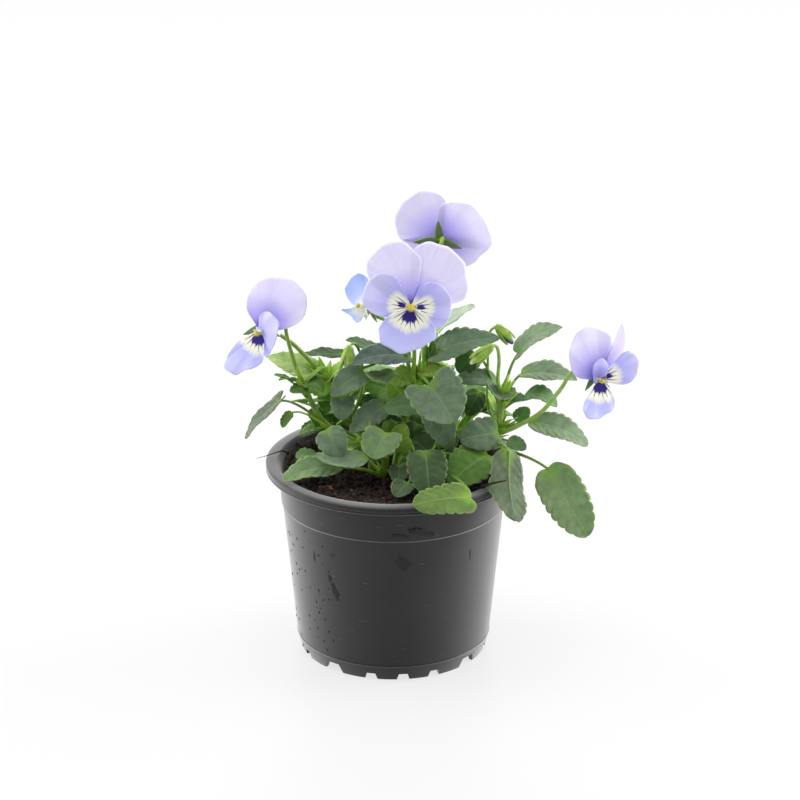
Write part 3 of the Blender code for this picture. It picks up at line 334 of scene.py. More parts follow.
BLOOMS["bloom_back"] = Bloom(
    centre=(441, 240, 15),
    face=(0.25, 0.93, 0.1),
    up=(0.05, 0.0, 1.0),
    sepal=10.5,
    spur=5,
    angles=((90, 1), (-4, 1), (184, 1), (-50, 1), (-129, 1)),
    petals=[
        Petal("upper", (0.22, 0.93, 0.0), -0.6, -1.0, -0.4, [
            (436, 243), (403, 240), (396, 224), (400, 206), (412, 194), (428, 190), (444, 196),
            (448, 215), (445, 236)]),
        Petal("upper", (0.3, 0.92, 0.0), -1.2, -1.8, -0.4, [
            (437, 238), (438, 212), (447, 202), (464, 200), (482, 212), (492, 231), (488, 246),
            (449, 246)]),
        Petal("side", (0.1, 0.95, 0.1), 0.2, 1.2, 0.0, [
            (436, 238), (415, 238), (401, 243), (403, 258), (420, 266), (437, 250)]),
        Petal("side", (0.35, 0.9, 0.1), 0.2, 1.2, 0.0, [
            (446, 237), (486, 238), (489, 248), (479, 258), (466, 267), (450, 262), (442, 248)]),
        Petal("lower", (0.15, 0.96, 0.1), 0.95, 2.4, 0.0, [
            (436, 244), (421, 260), (423, 281), (440, 290), (457, 281), (459, 261), (446, 244)]),
    ],
)
BLOOMS["bloom_left"] = Bloom(
    centre=(261, 331, -5),
    face=(-0.5, -0.85, -0.05),
    up=(-0.1, 0.1, 1.0),
    sepal=10,
    spur=5,
    eye=0.75,
    angles=((88, 1), (18, 1), (201, 1.5), (-50, 0.7), (-129, 1)),
    petals=[
        Petal("upper", (-0.38, -0.9, 0.1), -0.5, 0.8, -0.4, [
            (257, 327), (247, 309), (248, 294), (257, 282), (272, 277), (288, 278), (300, 286),
            (307, 299), (306, 313), (297, 324), (280, 330), (268, 330)]),
        Petal("upper", (-0.25, -0.93, 0.15), -1.3, -1.0, -0.4, [
            (261, 325), (268, 302), (277, 288), (289, 285), (298, 292), (301, 304), (296, 316),
            (285, 323), (270, 327)]),
        Petal("plain", (-0.95, -0.3, 0.1), 0.2, 0.0, 0.0, [
            (259, 328), (254, 326), (252, 330), (254, 334), (259, 334)]),
        Petal("plain", (-0.75, -0.6, -0.1), 0.2, -0.6, -0.5, [
            (259, 328), (262, 314), (270, 313), (278, 325), (275, 344), (267, 358), (261, 345)]),
        Petal("lower", (-0.4, -0.85, 0.35), 0.8, 1.0, 0.4, [
            (255, 333), (240, 340), (231, 352), (226, 365), (236, 375), (248, 370), (262, 363),
            (265, 346), (263, 334)]),
    ],
)
BLOOMS["bloom_right"] = Bloom(
    centre=(599, 379, -11),
    face=(0.35, -0.92, 0.0),
    up=(-0.05, 0.1, 1.0),
    sepal=8.5,
    spur=5,
    eye=0.6,
    angles=((88, 1), (-22, 1), (163, 1), (-51, 1), (-114, 1)),
    petals=[
        Petal("upper", (0.35, -0.9, 0.2), -0.6, -1.8, 0.6, [
            (594, 380), (577, 377), (572, 362), (573, 345), (582, 331), (597, 327), (612, 335),
            (614, 350), (606, 374)]),
        Petal("upper", (0.45, -0.9, 0.1), -0.1, -0.6, 0.0, [
            (605, 368), (612, 348), (624, 322), (626, 345), (622, 364), (611, 375)]),
        Petal("plain", (0.0, -0.85, 0.4), 0.3, 0.6, -2.6, [
            (594, 383), (592, 372), (595, 363), (602, 359), (608, 366), (606, 376)]),
        Petal("side", (0.0, -0.95, 0.3), 0.2, 0.6, 0.4, [
            (622, 353), (629, 351), (637, 357), (638, 372), (627, 384), (610, 383)]),
        Petal("lower", (0.3, -0.85, 0.45), 0.8, 0.8, 0.0, [
            (596, 382), (587, 397), (582, 407), (584, 416), (593, 420), (604, 416), (614, 406),
            (611, 392), (606, 380)]),
    ],
)
BLOOMS["bloom_small"] = Bloom(
    centre=(364, 308, 1),
    face=(-0.7, -0.5, 0.5),
    up=(0.1, 0.2, 1.0),
    sepal=6,
    spur=1.5,
    eye=0.55,
    petals=[
        Petal("opening", (-0.5, -0.8, 0.3), -0.4, 0.5, 0.5, [
            (366, 306), (369, 292), (367, 278), (358, 274), (348, 281), (345, 292), (350, 303),
            (361, 310)]),
        Petal("opening", (-0.2, -0.8, 0.6), 0.5, 1.0, 0.3, [
            (361, 304), (350, 309), (342, 311), (351, 316), (356, 323), (362, 320), (366, 310)]),
    ],
)

# The shoot that carries each bloom, in the order of its stalks
BLOOM_SHOOT = {
    "bloom_front": "shoot_centre",
    "bloom_back": "shoot_centre",
    "bloom_small": "shoot_centre",
    "bloom_left": "shoot_left",
    "bloom_right": "shoot_right",
}

BUDS = {
    "bud_left": Bud((349, 348, 9), (348, 372, 7), 5.2, "shoot_left_inner", 1.5),
    "bud_right": Bud((498, 327, 9), (513, 344, 7), 4.4, "shoot_right"),
    "bud_centre": Bud((491, 347, -4), (470, 364, -5), 4.4, "shoot_right"),
}
print("petals:", sum(len(bloom.petals) for bloom in BLOOMS.values()))

# %% [markdown]
# ## Colours and shader nodes
# Colours are written as hex values, the way a paint chart or a picture editor shows them. Blender works
# in linear light, so one function turns them over. Another adds any shader or geometry node with its
# settings and its links, and leaves the links to a third, which serves the finished shader too. That
# keeps each material to a few readable lines.

# %% Colour and node helpers
def srgb(code):
    """A hex colour as linear light, with full alpha."""
    parts = [int(code[at:at + 2], 16) / 255 for at in (0, 2, 4)]
    linear = [c / 12.92 if c <= 0.04045 else ((c + 0.055) / 1.055) ** 2.4 for c in parts]
    return (*linear, 1.0)


def feed(tree, node, inputs):
    """Gives a node its inputs, by name or number: a value, a socket, or a node for its first socket."""
    for key, value in dict(inputs).items():
        source = value.outputs[0] if isinstance(value, bpy.types.Node) else value
        if isinstance(source, bpy.types.NodeSocket):
            tree.links.new(source, node.inputs[key])
        else:
            node.inputs[key].default_value = source


def add(tree, kind, inputs=(), stops=(), **settings):
    """Adds a node with its settings by name, its inputs, and the stops of a colour ramp."""
    made = tree.nodes.new(kind)
    for key, value in settings.items():
        setattr(made, key, value)
    feed(tree, made, inputs)
    for number, (position, colour) in enumerate(stops):
        ramp = made.color_ramp
        stop = ramp.elements[number] if number < 2 else ramp.elements.new(position)
        stop.position = position
        stop.color = colour
    return made


WHITE = (1, 1, 1, 1)
BLACK = (0, 0, 0, 1)


def new_material(name):
    """An empty material, its tree, its shader, and the place on the object that lays out patterns."""
    made = bpy.data.materials.new(name)
    made.use_nodes = True
    tree = made.node_tree
    return made, tree, tree.nodes["Principled BSDF"], add(tree, "ShaderNodeTexCoord").outputs["Object"]


print("leaf green as linear light:", [round(c, 3) for c in srgb("6B7F68")])

# %% [markdown]
# ## Moulded polypropylene
# Nursery pots are injection moulded from recycled polypropylene, coloured black. It is a little glossy,
# with a faint orange peel from the mould, and in use it gets dust, dried drops and rubbed patches. A
# film of dust shows most where the wall turns away from the eye, which a little sheen stands for. The
# dust lightens the colour, a few damp patches are darker and smoother, and short rubs show grey. All of
# them come from noise, because their real edges are soft too.

# %% The pot's plastic
def pot_plastic():
    made, tree, shader, place = new_material("moulded black polypropylene")
    cloud = add(tree, "ShaderNodeTexNoise", {"Vector": place, "Scale": 1 / (22 * MM), "Detail": 4})
    dust = add(tree, "ShaderNodeValToRGB", {0: cloud}, [(0.36, srgb("0A0A0B")), (0.66, srgb("151516"))])
    tall = add(tree, "ShaderNodeMapping", {"Vector": place, "Scale": (1, 1, 0.45)})
    patch = add(tree, "ShaderNodeTexNoise", {"Vector": tall, "Scale": 1 / (9 * MM), "Detail": 2})
    wet = add(tree, "ShaderNodeValToRGB", {0: patch}, [(0.70, BLACK), (0.74, WHITE)])
    dark = add(tree, "ShaderNodeMix", {0: wet, 6: dust, 7: srgb("020203")}, data_type="RGBA")
    low = add(tree, "ShaderNodeMapping", {"Vector": place, "Scale": (1, 1, 9)})
    scratch = add(tree, "ShaderNodeTexNoise", {"Vector": low, "Scale": 1 / (6 * MM), "Detail": 5})
    mark = add(tree, "ShaderNodeValToRGB", {0: scratch}, [(0.70, BLACK), (0.74, WHITE)])
    worn = add(tree, "ShaderNodeMix", {0: mark, 6: dark.outputs[2], 7: srgb("4A4A4D")}, data_type="RGBA")
    gloss = add(tree, "ShaderNodeMapRange", {0: cloud, 3: 0.34, 4: 0.50})
    damp_gloss = add(tree, "ShaderNodeMix", {0: wet, 2: gloss, 3: 0.3})
    peel = add(tree, "ShaderNodeTexNoise", {"Vector": place, "Scale": 1 / (0.9 * MM), "Detail": 2})
    bump = add(tree, "ShaderNodeBump", {"Strength": 0.12, "Distance": 0.1 * MM, "Height": peel})
    feed(tree, shader, {
        "Base Color": worn.outputs[2], "Roughness": damp_gloss, "Normal": bump, "IOR": 1.49,
        "Specular IOR Level": 0.32, "Sheen Weight": 0.95, "Sheen Roughness": 0.41})
    return made


PLASTIC = pot_plastic()
print(PLASTIC.name, "has", len(PLASTIC.node_tree.nodes), "nodes")

# %% [markdown]
# ## Moist peat
# Potting soil is peat: almost black where it is moist, with reddish brown plant fibres and a few tan
# bits of bark. Colour noise at the size of a crumb gives the mix, and it stays rough, because moist
# peat drinks light.

# %% The soil's peat
def peat(name, dark, brown, light, grain):
    made, tree, shader, place = new_material(name)
    crumb = add(tree, "ShaderNodeTexNoise",
                {"Vector": place, "Scale": 1 / grain, "Detail": 6, "Roughness": 0.7})
    colour = add(tree, "ShaderNodeValToRGB", {0: crumb},
                 [(0.36, srgb(dark)), (0.56, srgb(brown)), (0.72, srgb(light))])
    bump = add(tree, "ShaderNodeBump", {"Strength": 0.7, "Distance": 0.4 * MM, "Height": crumb})
    feed(tree, shader, {
        "Base Color": colour, "Normal": bump, "Roughness": 0.85, "Specular IOR Level": 0.3})
    return made


PEAT = peat("moist peat", "15110F", "2A201C", "4F382B", 1.3 * MM)
BARK = peat("reddish peat fibre", "3A241A", "5C3A28", "94704A", 3 * MM)
print("soil materials:", PEAT.name, "and", BARK.name)

# %% [markdown]
# ## Leaf tissue
# A horned violet's leaf is matt, grey green above and paler below, and it lets some light through. Its
# veins are lighter lines: a midrib from the stalk to the tip and side veins that climb towards the
# teeth. Two UV maps carry that layout, so the veins follow each blade: "place" runs across and along
# the blade, and "veins" holds the distance from the midrib and a count that passes a whole number at
# each side vein. The tone of each leaf comes from a colour attribute named "tint"; some tones are
# painted light and others painted shade, and the thin pale band along the margin is a painted highlight.

# %% The leaf's two sides
# The tones "lit" and "glow" are painted light, for leaves that light falls on or shines through, and "dim"
# and "dark" are painted shade, for leaves deep in the clump.
LEAF_TONES = {
    "grey": "6C7F66", "sage": "62765C", "blue": "505F55", "green": "688559", "dark": "4A6040",
    "dim": "3E5433", "deep": "55634B", "pale": "A2AD9B", "ash": "6B7564", "silver": "7A8C70",
    "fresh": "6B8359", "lit": "537632", "young": "67893C", "bright": "7E8F6C", "glow": "96B252",
    "straw": "B4C284", "rim": "5B7435",
}
LEAF_HEART = srgb("7FA63C")


def leaf_tissue(name, vein, vein_share, side_share, relief, roughness):
    made, tree, shader, place = new_material(name)
    tint = add(tree, "ShaderNodeAttribute", attribute_name="tint").outputs["Color"]
    blade = add(tree, "ShaderNodeSeparateXYZ", {0: add(tree, "ShaderNodeUVMap", uv_map="place")})
    lines = add(tree, "ShaderNodeSeparateXYZ", {0: add(tree, "ShaderNodeUVMap", uv_map="veins")})
    mottle = add(tree, "ShaderNodeTexNoise", {"Vector": place, "Scale": 1 / (3 * MM), "Detail": 5})
    shade = add(tree, "ShaderNodeMapRange", {0: mottle, 1: 0.3, 2: 0.7, 3: 0.80, 4: 1.16})
    tissue = add(tree, "ShaderNodeVectorMath", {0: tint, 1: shade}, operation="MULTIPLY")
    off_heart = add(tree, "ShaderNodeMath", {0: lines, 1: 0.35, 2: blade.outputs[1]},
                    operation="MULTIPLY_ADD")
    heart = add(tree, "ShaderNodeValToRGB", {0: off_heart}, [(0.0, (0.85, 0.85, 0.85, 1)), (0.34, BLACK)])
    warm = add(tree, "ShaderNodeMix", {0: heart, 6: tissue, 7: LEAF_HEART}, data_type="RGBA")
    beside = add(tree, "ShaderNodeMath", {0: lines.outputs[1], 1: 0.5}, operation="PINGPONG")
    side_vein = add(tree, "ShaderNodeValToRGB", {0: beside}, [(0.02, WHITE), (0.10, BLACK)])
    midrib = add(tree, "ShaderNodeValToRGB", {0: lines}, [(0.015, WHITE), (0.06, BLACK)])
    faint = add(tree, "ShaderNodeMath", {0: side_vein, 1: side_share}, operation="MULTIPLY")
    vein_line = add(tree, "ShaderNodeMath", {0: midrib, 1: faint}, operation="MAXIMUM")
    share = add(tree, "ShaderNodeMath", {0: vein_line, 1: vein_share}, operation="MULTIPLY")
    veined = add(tree, "ShaderNodeMix", {0: share, 6: warm.outputs[2], 7: srgb(vein)}, data_type="RGBA")
    # A thin pale band along the margin, mixed towards the vein colour, is a painted highlight on the
    # teeth.
    painted_margin_highlight = add(tree, "ShaderNodeValToRGB", {0: lines}, [(0.90, BLACK), (0.985, (0.3, 0.3, 0.3, 1))])
    margin_with_highlight = add(tree, "ShaderNodeMix", {0: painted_margin_highlight, 6: veined.outputs[2], 7: srgb(vein)}, data_type="RGBA")
    fine = add(tree, "ShaderNodeTexNoise", {"Vector": place, "Scale": 1 / (0.7 * MM), "Detail": 3})
    skin = add(tree, "ShaderNodeMath", {0: fine, 1: 0.35}, operation="MULTIPLY")
    height = add(tree, "ShaderNodeMath", {0: vein_line, 1: relief, 2: skin}, operation="MULTIPLY_ADD")
    bump = add(tree, "ShaderNodeBump", {"Strength": 0.5, "Distance": 0.25 * MM, "Height": height})
    feed(tree, shader, {
        "Base Color": margin_with_highlight.outputs[2], "Normal": bump, "Roughness": roughness,
        "Specular IOR Level": 0.13, "Subsurface Weight": 0.55, "Subsurface Radius": (0.65, 1.0, 0.08),
        "Subsurface Scale": 1.3 * MM, "Sheen Weight": 0.05})
    return made


LEAF_UPPER = leaf_tissue("violet leaf, upper side", "9FB585", 0.24, 0.16, -0.8, 0.6)
LEAF_UNDER = leaf_tissue("violet leaf, underside", "AAB994", 0.22, 0.25, 0.7, 0.66)
print("leaf materials:", LEAF_UPPER.name, "and", LEAF_UNDER.name)

# %% [markdown]
# ## Stalk tissue
# Stems and stalks hold more water than the leaves and are a brighter, yellower green, palest where they
# are young. Their ribs are in the mesh, so the finish only adds a mottle and a soft wet gloss.

# %% The stalks' tissue
def stalk_tissue():
    made, tree, shader, place = new_material("violet stem")
    tint = add(tree, "ShaderNodeAttribute", attribute_name="tint").outputs["Color"]
    mottle = add(tree, "ShaderNodeTexNoise", {"Vector": place, "Scale": 1 / (2 * MM), "Detail": 4})
    shade = add(tree, "ShaderNodeMapRange", {0: mottle, 1: 0.3, 2: 0.7, 3: 0.78, 4: 1.15})
    colour = add(tree, "ShaderNodeVectorMath", {0: tint, 1: shade}, operation="MULTIPLY")
    bump = add(tree, "ShaderNodeBump", {"Strength": 0.3, "Distance": 0.15 * MM, "Height": mottle})
    feed(tree, shader, {
        "Base Color": colour, "Normal": bump, "Roughness": 0.42, "Subsurface Weight": 0.5,
        "Subsurface Radius": (0.75, 1.0, 0.08), "Subsurface Scale": 1.8 * MM})
    return made


STEM = stalk_tissue()
STEM_TINT = srgb("6F9336")
HAIR_TINT = "C9D6AE"
YOUNG_STEM_TINT = srgb("86AE30")
print("stem material:", STEM.name)

# %% [markdown]
# ## Petal tissue
# Petals are thin, matt and velvety, and they glow where light passes through them. Their colour deepens
# from the rim to the claw in fine streaks that follow the veins. The lower petal has a cream patch with
# a dark violet blotch, and whiskers run out from it to guide insects; the side petals carry a smaller
# set. The UV map "rays" holds the angle from the middle of the marks and the distance from the bloom's
# centre, so a whisker is a line of one angle that narrows with the distance, and noise that is drawn out
# along the rays gives the cream its ragged edge.

# %% The petals' tissue
RAY_REACH = 30 * MM
WHISKERS_ROUND = 25
WHISKER_HALF = 0.23
Marks = namedtuple("Marks", "cream blotch whiskers")
SIDE_MARKS = Marks(cream=(9.3, 40), blotch=(5.6, 16), whiskers=(8.2, 33))
LOWER_MARKS = Marks(cream=(9.8, 97), blotch=(6.1, 45), whiskers=(8.7, 74))


def petal_tissue(name, rim, heart, claw, marks=None):
    """A petal's finish. A mark is its reach in millimetres and its half angle in degrees."""
    made, tree, shader, place = new_material(name)
    rays = add(tree, "ShaderNodeUVMap", uv_map="rays")
    parts = add(tree, "ShaderNodeSeparateXYZ", {0: rays})
    out = add(tree, "ShaderNodeMath", {0: parts.outputs[1], 1: RAY_REACH / MM}, operation="MULTIPLY")
    stretched = add(tree, "ShaderNodeMapping", {"Vector": rays, "Scale": (150, 3.0, 1)})
    streak = add(tree, "ShaderNodeTexNoise", {"Vector": stretched, "Scale": 1, "Detail": 3})
    depth = add(tree, "ShaderNodeValToRGB", {0: parts.outputs[1]},
                [(0.08, srgb(claw)), (0.20, srgb(heart)), (0.55, srgb(rim))])
    vein = add(tree, "ShaderNodeMapRange", {0: streak, 1: 0.5, 2: 0.8, 3: 0.0, 4: 0.24})
    streaked = add(tree, "ShaderNodeMix", {0: vein, 6: depth, 7: srgb(heart)}, data_type="RGBA")
    colour = streaked.outputs[2]
    if marks:
        broad = add(tree, "ShaderNodeMapping", {"Vector": rays, "Scale": (60, 1.5, 1)})
        tooth = add(tree, "ShaderNodeTexNoise", {"Vector": broad, "Scale": 1, "Detail": 2})
        both = add(tree, "ShaderNodeMath", {0: tooth, 1: 1.3, 2: streak}, operation="MULTIPLY_ADD")
        wobble = add(tree, "ShaderNodeMath", {0: both, 1: 1.15}, operation="SUBTRACT")
        ragged = add(tree, "ShaderNodeMath", {0: wobble, 1: 2.4, 2: out}, operation="MULTIPLY_ADD")
        turn = add(tree, "ShaderNodeMath", {0: parts, 1: 0.5}, operation="SUBTRACT")
        swing = add(tree, "ShaderNodeMath", {0: turn}, operation="ABSOLUTE")
        comb = add(tree, "ShaderNodeMath", {0: parts, 1: WHISKERS_ROUND}, operation="MULTIPLY")
        beside = add(tree, "ShaderNodeMath", {0: comb, 1: 0.5}, operation="PINGPONG")
        off_line = add(tree, "ShaderNodeMath", {0: beside, 1: out}, operation="MULTIPLY")
        masks = {}
        for mark, (reach, half_angle) in marks._asdict().items():
            near = add(tree, "ShaderNodeMath", {0: ragged, 1: reach}, operation="DIVIDE")
            far = add(tree, "ShaderNodeMath", {0: near, 1: 4.0}, operation="POWER")
            share = add(tree, "ShaderNodeMath", {0: swing, 1: 360 / half_angle}, operation="MULTIPLY")
            wide = add(tree, "ShaderNodeMath", {0: share, 1: 4.0}, operation="POWER")
            field = add(tree, "ShaderNodeMath", {0: far, 1: wide}, operation="ADD")
            if mark == "whiskers":
                thin = math.tau / WHISKERS_ROUND / WHISKER_HALF
                field = add(tree, "ShaderNodeMath", {0: off_line, 1: thin, 2: field},
                            operation="MULTIPLY_ADD")
            soft = 0.5 if mark == "cream" else 0.16
            edge = {0: field, 1: 1 - soft, 2: 1 + soft, 3: 1.0, 4: 0.0}
            masks[mark] = add(tree, "ShaderNodeMapRange", edge)
        lighter = add(tree, "ShaderNodeMix", {0: masks["cream"], 6: colour, 7: srgb("F4F3DC")},
                      data_type="RGBA")
        dark = add(tree, "ShaderNodeMath", {0: masks["blotch"], 1: masks["whiskers"]}, operation="MAXIMUM")
        inked = add(tree, "ShaderNodeMix", {0: dark, 6: lighter.outputs[2], 7: srgb("2A1C78")},
                    data_type="RGBA")
        colour = inked.outputs[2]
    velvet = add(tree, "ShaderNodeTexNoise", {"Vector": place, "Scale": 1 / (0.8 * MM), "Detail": 3})
    pleat = add(tree, "ShaderNodeMath", {0: velvet, 1: 0.3, 2: streak}, operation="MULTIPLY_ADD")
    bump = add(tree, "ShaderNodeBump", {"Strength": 0.25, "Distance": 0.2 * MM, "Height": pleat})
    feed(tree, shader, {
        "Base Color": colour, "Normal": bump, "Roughness": 0.65, "Specular IOR Level": 0.25,
        "Subsurface Weight": 0.5, "Subsurface Radius": (0.9, 0.88, 1.0), "Subsurface Scale": 1.0 * MM,
        "Sheen Weight": 0.08})
    return made


PETALS = {
    "upper": petal_tissue("violet petal, upper pair", "DED8FF", "ABA2F2", "6258BA"),
    "side": petal_tissue("violet petal, side", "CCCAFF", "A9A7F2", "F3F1D8", SIDE_MARKS),
    "lower": petal_tissue("violet petal, lower", "C1C3FA", "AEAEF3", "F3F1D8", LOWER_MARKS),
    "plain": petal_tissue("violet petal, folded", "D0D0FE", "BBB9F8", "A6A2F0"),
    "opening": petal_tissue("violet petal, just opened", "92A8EC", "B2C2EE", "E4E8D4"),
    "reverse": petal_tissue("violet petal, reverse", "DFDAFE", "B3AAF2", "9C93E2"),
}
print("petal materials:", [made.name for made in PETALS.values()])

# %% [markdown]
# ## Small flower parts
# The yellow eye is pollen and the tip of the pistil: grainy, matt and deep yellow with an olive side.
# The throat below it is cream, with short white hairs that guide a bee's tongue.

# %% The eye and the throat
def grainy(name, light, dark, grain, roughness):
    made, tree, shader, place = new_material(name)
    speck = add(tree, "ShaderNodeTexNoise", {"Vector": place, "Scale": 1 / grain, "Detail": 4})
    colour = add(tree, "ShaderNodeValToRGB", {0: speck}, [(0.38, srgb(dark)), (0.60, srgb(light))])
    bump = add(tree, "ShaderNodeBump", {"Strength": 0.4, "Distance": 0.1 * MM, "Height": speck})
    feed(tree, shader, {
        "Base Color": colour, "Normal": bump, "Roughness": roughness, "Subsurface Weight": 0.2,
        "Subsurface Scale": 0.5 * MM})
    return made


POLLEN = grainy("pollen yellow", "DDC62E", "A39A26", 0.8 * MM, 0.6)
THROAT = grainy("cream throat", "F1EFD0", "D8D79A", 0.9 * MM, 0.7)
BUD_PETAL = grainy("closed bud petal", "6F82C0", "3D4C8C", 2.0 * MM, 0.6)
BUD_CREAM = grainy("pale closed bud petal", "E4E8C4", "BFCB8C", 2.0 * MM, 0.6)
print("small parts:", POLLEN.name, THROAT.name, BUD_PETAL.name)

# %% [markdown]
# ## Making and handing over a mesh
# A thin blade is easiest as a grid: it is laid flat, each point gets its place from a rule, and a
# Solidify modifier gives it thickness. The collector below gathers many such blades in one mesh, with
# their UV maps and their tint, because a whole shoot is one growth.

# %% Mesh helpers
WELD = 0.00001


def new_piece(name, mesh, materials=()):
    obj = bpy.data.objects.new(name, mesh)
    bpy.context.scene.collection.objects.link(obj)
    for made in materials:
        obj.data.materials.append(made)
    return obj


def mesh_of(bm, name):
    """The finished mesh of a bmesh, which is freed."""
    mesh = bpy.data.meshes.new(name)
    bm.to_mesh(mesh)
    bm.free()
    return mesh


def turned(name, outline, steps, materials=()):
    """A profile of (radius, height) swept round the upright axis, along which it stays open."""
    bm = bmesh.new()
    corners = [bm.verts.new((radius, 0, height)) for radius, height in outline]
    for start, end in zip(corners, corners[1:] + corners[:1]):
        if start.co.x > 0 or end.co.x > 0:
            bm.edges.new((start, end))
    piece = new_piece(name, mesh_of(bm, name), materials)
    turn = piece.modifiers.new("turn", "SCREW")
    turn.steps = steps
    turn.render_steps = steps
    turn.use_merge_vertices = True
    turn.merge_threshold = WELD
    return piece


def smooth_piece(name, bm, material):
    """A smooth object of one material, made from a bmesh."""
    mesh = mesh_of(bm, name)
    mesh.shade_smooth()
    return new_piece(name, mesh, [material])


def align(bm, verts, axis, centre):
    """Turns upright vertices to an axis and moves them to their centre."""
    bmesh.ops.rotate(bm, verts=verts, matrix=Vector((0, 0, 1)).rotation_difference(axis).to_matrix())
    bmesh.ops.translate(bm, verts=verts, vec=centre)


def evaluated_mesh(obj):
    """The object's mesh with its modifiers applied."""
    graph = bpy.context.evaluated_depsgraph_get()
    return bpy.data.meshes.new_from_object(obj.evaluated_get(graph), preserve_all_data_layers=True,
                                           depsgraph=graph)


def settle(obj):
    """Applies the object's modifiers and shades it smooth."""
    obj.data = evaluated_mesh(obj)
    obj.modifiers.clear()
    obj.data.shade_smooth()
    return obj


class Blades:
    """Gathers thin open blades in one mesh. s runs from 0 to 1 along a blade, t from -1 to 1 across."""

    def __init__(self, *maps):
        self.bm = bmesh.new()
        self.maps = [self.bm.loops.layers.uv.new(name) for name in maps]
        self.tint = self.bm.verts.layers.float_color.new("tint")

    def add(self, rows, columns, place, layouts, tint, slot=0):
        made = bmesh.ops.create_grid(self.bm, x_segments=rows, y_segments=columns, size=1)["verts"]
        at = {}
        for vertex in made:
            at[vertex] = ((vertex.co.x + 1) / 2, vertex.co.y)
            vertex[self.tint] = tint
        for face in {face for vertex in made for face in vertex.link_faces}:
            face.material_index = slot
            for corner in face.loops:
                for layer, layout in zip(self.maps, layouts):
                    corner[layer].uv = layout(*at[corner.vert])
        for vertex, (s, t) in at.items():
            vertex.co = place(s, t)

    def piece(self, name, materials, thickness, back_slot):
        """The finished blades, with their thickness."""
        obj = new_piece(name, mesh_of(self.bm, name), materials)
        solid = obj.modifiers.new("thickness", "SOLIDIFY")
        solid.thickness = thickness
        solid.offset = 0
        solid.material_offset = back_slot
        return settle(obj)


def hand_over(piece, slot, *nodes):
    """Gives a piece its body and hides the solids that it stands for; the slot is not used."""
    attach(piece, "root")
    if nodes:
        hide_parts(*nodes)
    print(piece.name, "has", sum(len(p.vertices) - 2 for p in piece.data.polygons), "triangles")


print("helpers are ready; the first pieces follow")

# %% [markdown]
# ## The pot
# The pot is turned: one profile, swept round its axis, gives the rolled rim, the ledge where two pots
# nest, and the foot. Every corner of the mould is slightly round, and those roundings catch the light,
# so each corner of the profile is replaced by a short arc. The foot's notches let water run off; they
# are cut out with a Boolean, because they follow the flat of the floor and not the turn.

# %% The pot's sizes
POT_HEIGHT = 83.0 * MM
RIM_RADIUS = 53.2 * MM
RIM_INNER_RADIUS = 47.9 * MM
RIM_DEPTH = 3.2 * MM
RIM_GROOVE = 0.2 * MM
WALL = 1.1 * MM
BODY_TOP_RADIUS = 47.6 * MM
BODY_TOP_Z = 78.6 * MM
BAND_Z = 65.6 * MM
BAND_STEP = 0.5 * MM
BODY_FOOT_RADIUS = 40.7 * MM
FOOT_Z = 6.2 * MM
FOOT_LINE = 0.3 * MM
FOOT_RADIUS = 39.2 * MM
FOOT_WALL = 1.7 * MM
FLOOR_Z = 4.6 * MM
FLOOR_THICKNESS = 1.2 * MM
POT_STEPS = 160
WIDE_NOTCHES = (-39, 51, 141, 231)
WIDE_NOTCH = (9.0 * MM, 4.0 * MM)
NARROW_NOTCHES = (25.6, 45.0, 64.4)
NARROW_NOTCH = (5.2 * MM, 2.8 * MM)
NOTCH_TOP_SHARE = 0.7
NOTCH_FOOT_SHARE = 1.15
CUTTER_REACH = 8 * MM
DRAIN_RADIUS = 4.0 * MM
DRAIN_RING = 30.0 * MM
DRAIN_SIDES = 32
DRAIN_CUT = 6 * MM
POT_CREASE = math.radians(38)


def body_radius(z):
    """Outer radius of the pot's straight tapering side."""
    share = (z - FOOT_Z) / (BODY_TOP_Z - FOOT_Z)
    return BODY_FOOT_RADIUS + (BODY_TOP_RADIUS - BODY_FOOT_RADIUS) * share


def pot_profile():
    """Corners of the profile as (radius, height, rounding), down the outside and up the inside."""
    lip = POT_HEIGHT - RIM_DEPTH
    floor_top = FLOOR_Z + FLOOR_THICKNESS
    return [
        (RIM_INNER_RADIUS, POT_HEIGHT, 0.7 * MM),
        (RIM_RADIUS, POT_HEIGHT, 1.4 * MM),
        (RIM_RADIUS, lip + 1.2 * MM, 0.1 * MM),
        (RIM_RADIUS - RIM_GROOVE, lip + 1.1 * MM, 0.05 * MM),
        (RIM_RADIUS - RIM_GROOVE, lip + 0.9 * MM, 0.05 * MM),
        (RIM_RADIUS, lip + 0.8 * MM, 0.1 * MM),
        (RIM_RADIUS, lip, 0.5 * MM),
        (RIM_RADIUS - 1.0 * MM, lip - 0.3 * MM, 0.3 * MM),
        (BODY_TOP_RADIUS, BODY_TOP_Z, 0.8 * MM),
        (body_radius(BAND_Z) + BAND_STEP, BAND_Z, 0.25 * MM),
        (body_radius(BAND_Z), BAND_Z - BAND_STEP, 0.3 * MM),
        (body_radius(FOOT_Z + 3 * FOOT_LINE), FOOT_Z + 3 * FOOT_LINE, 0.2 * MM),
        (body_radius(FOOT_Z) + FOOT_LINE, FOOT_Z + 1.6 * FOOT_LINE, 0.2 * MM),
        (BODY_FOOT_RADIUS, FOOT_Z, 0.5 * MM),
        (FOOT_RADIUS, 0, 0.35 * MM),
        (FOOT_RADIUS - FOOT_WALL, 0, 0.35 * MM),
        (FOOT_RADIUS - FOOT_WALL, FLOOR_Z, 0.3 * MM),
        (0, FLOOR_Z, 0),
        (0, floor_top, 0),
        (body_radius(floor_top) - WALL, floor_top, 0.8 * MM),
        (RIM_INNER_RADIUS - WALL, BODY_TOP_Z, 0.6 * MM),
    ]


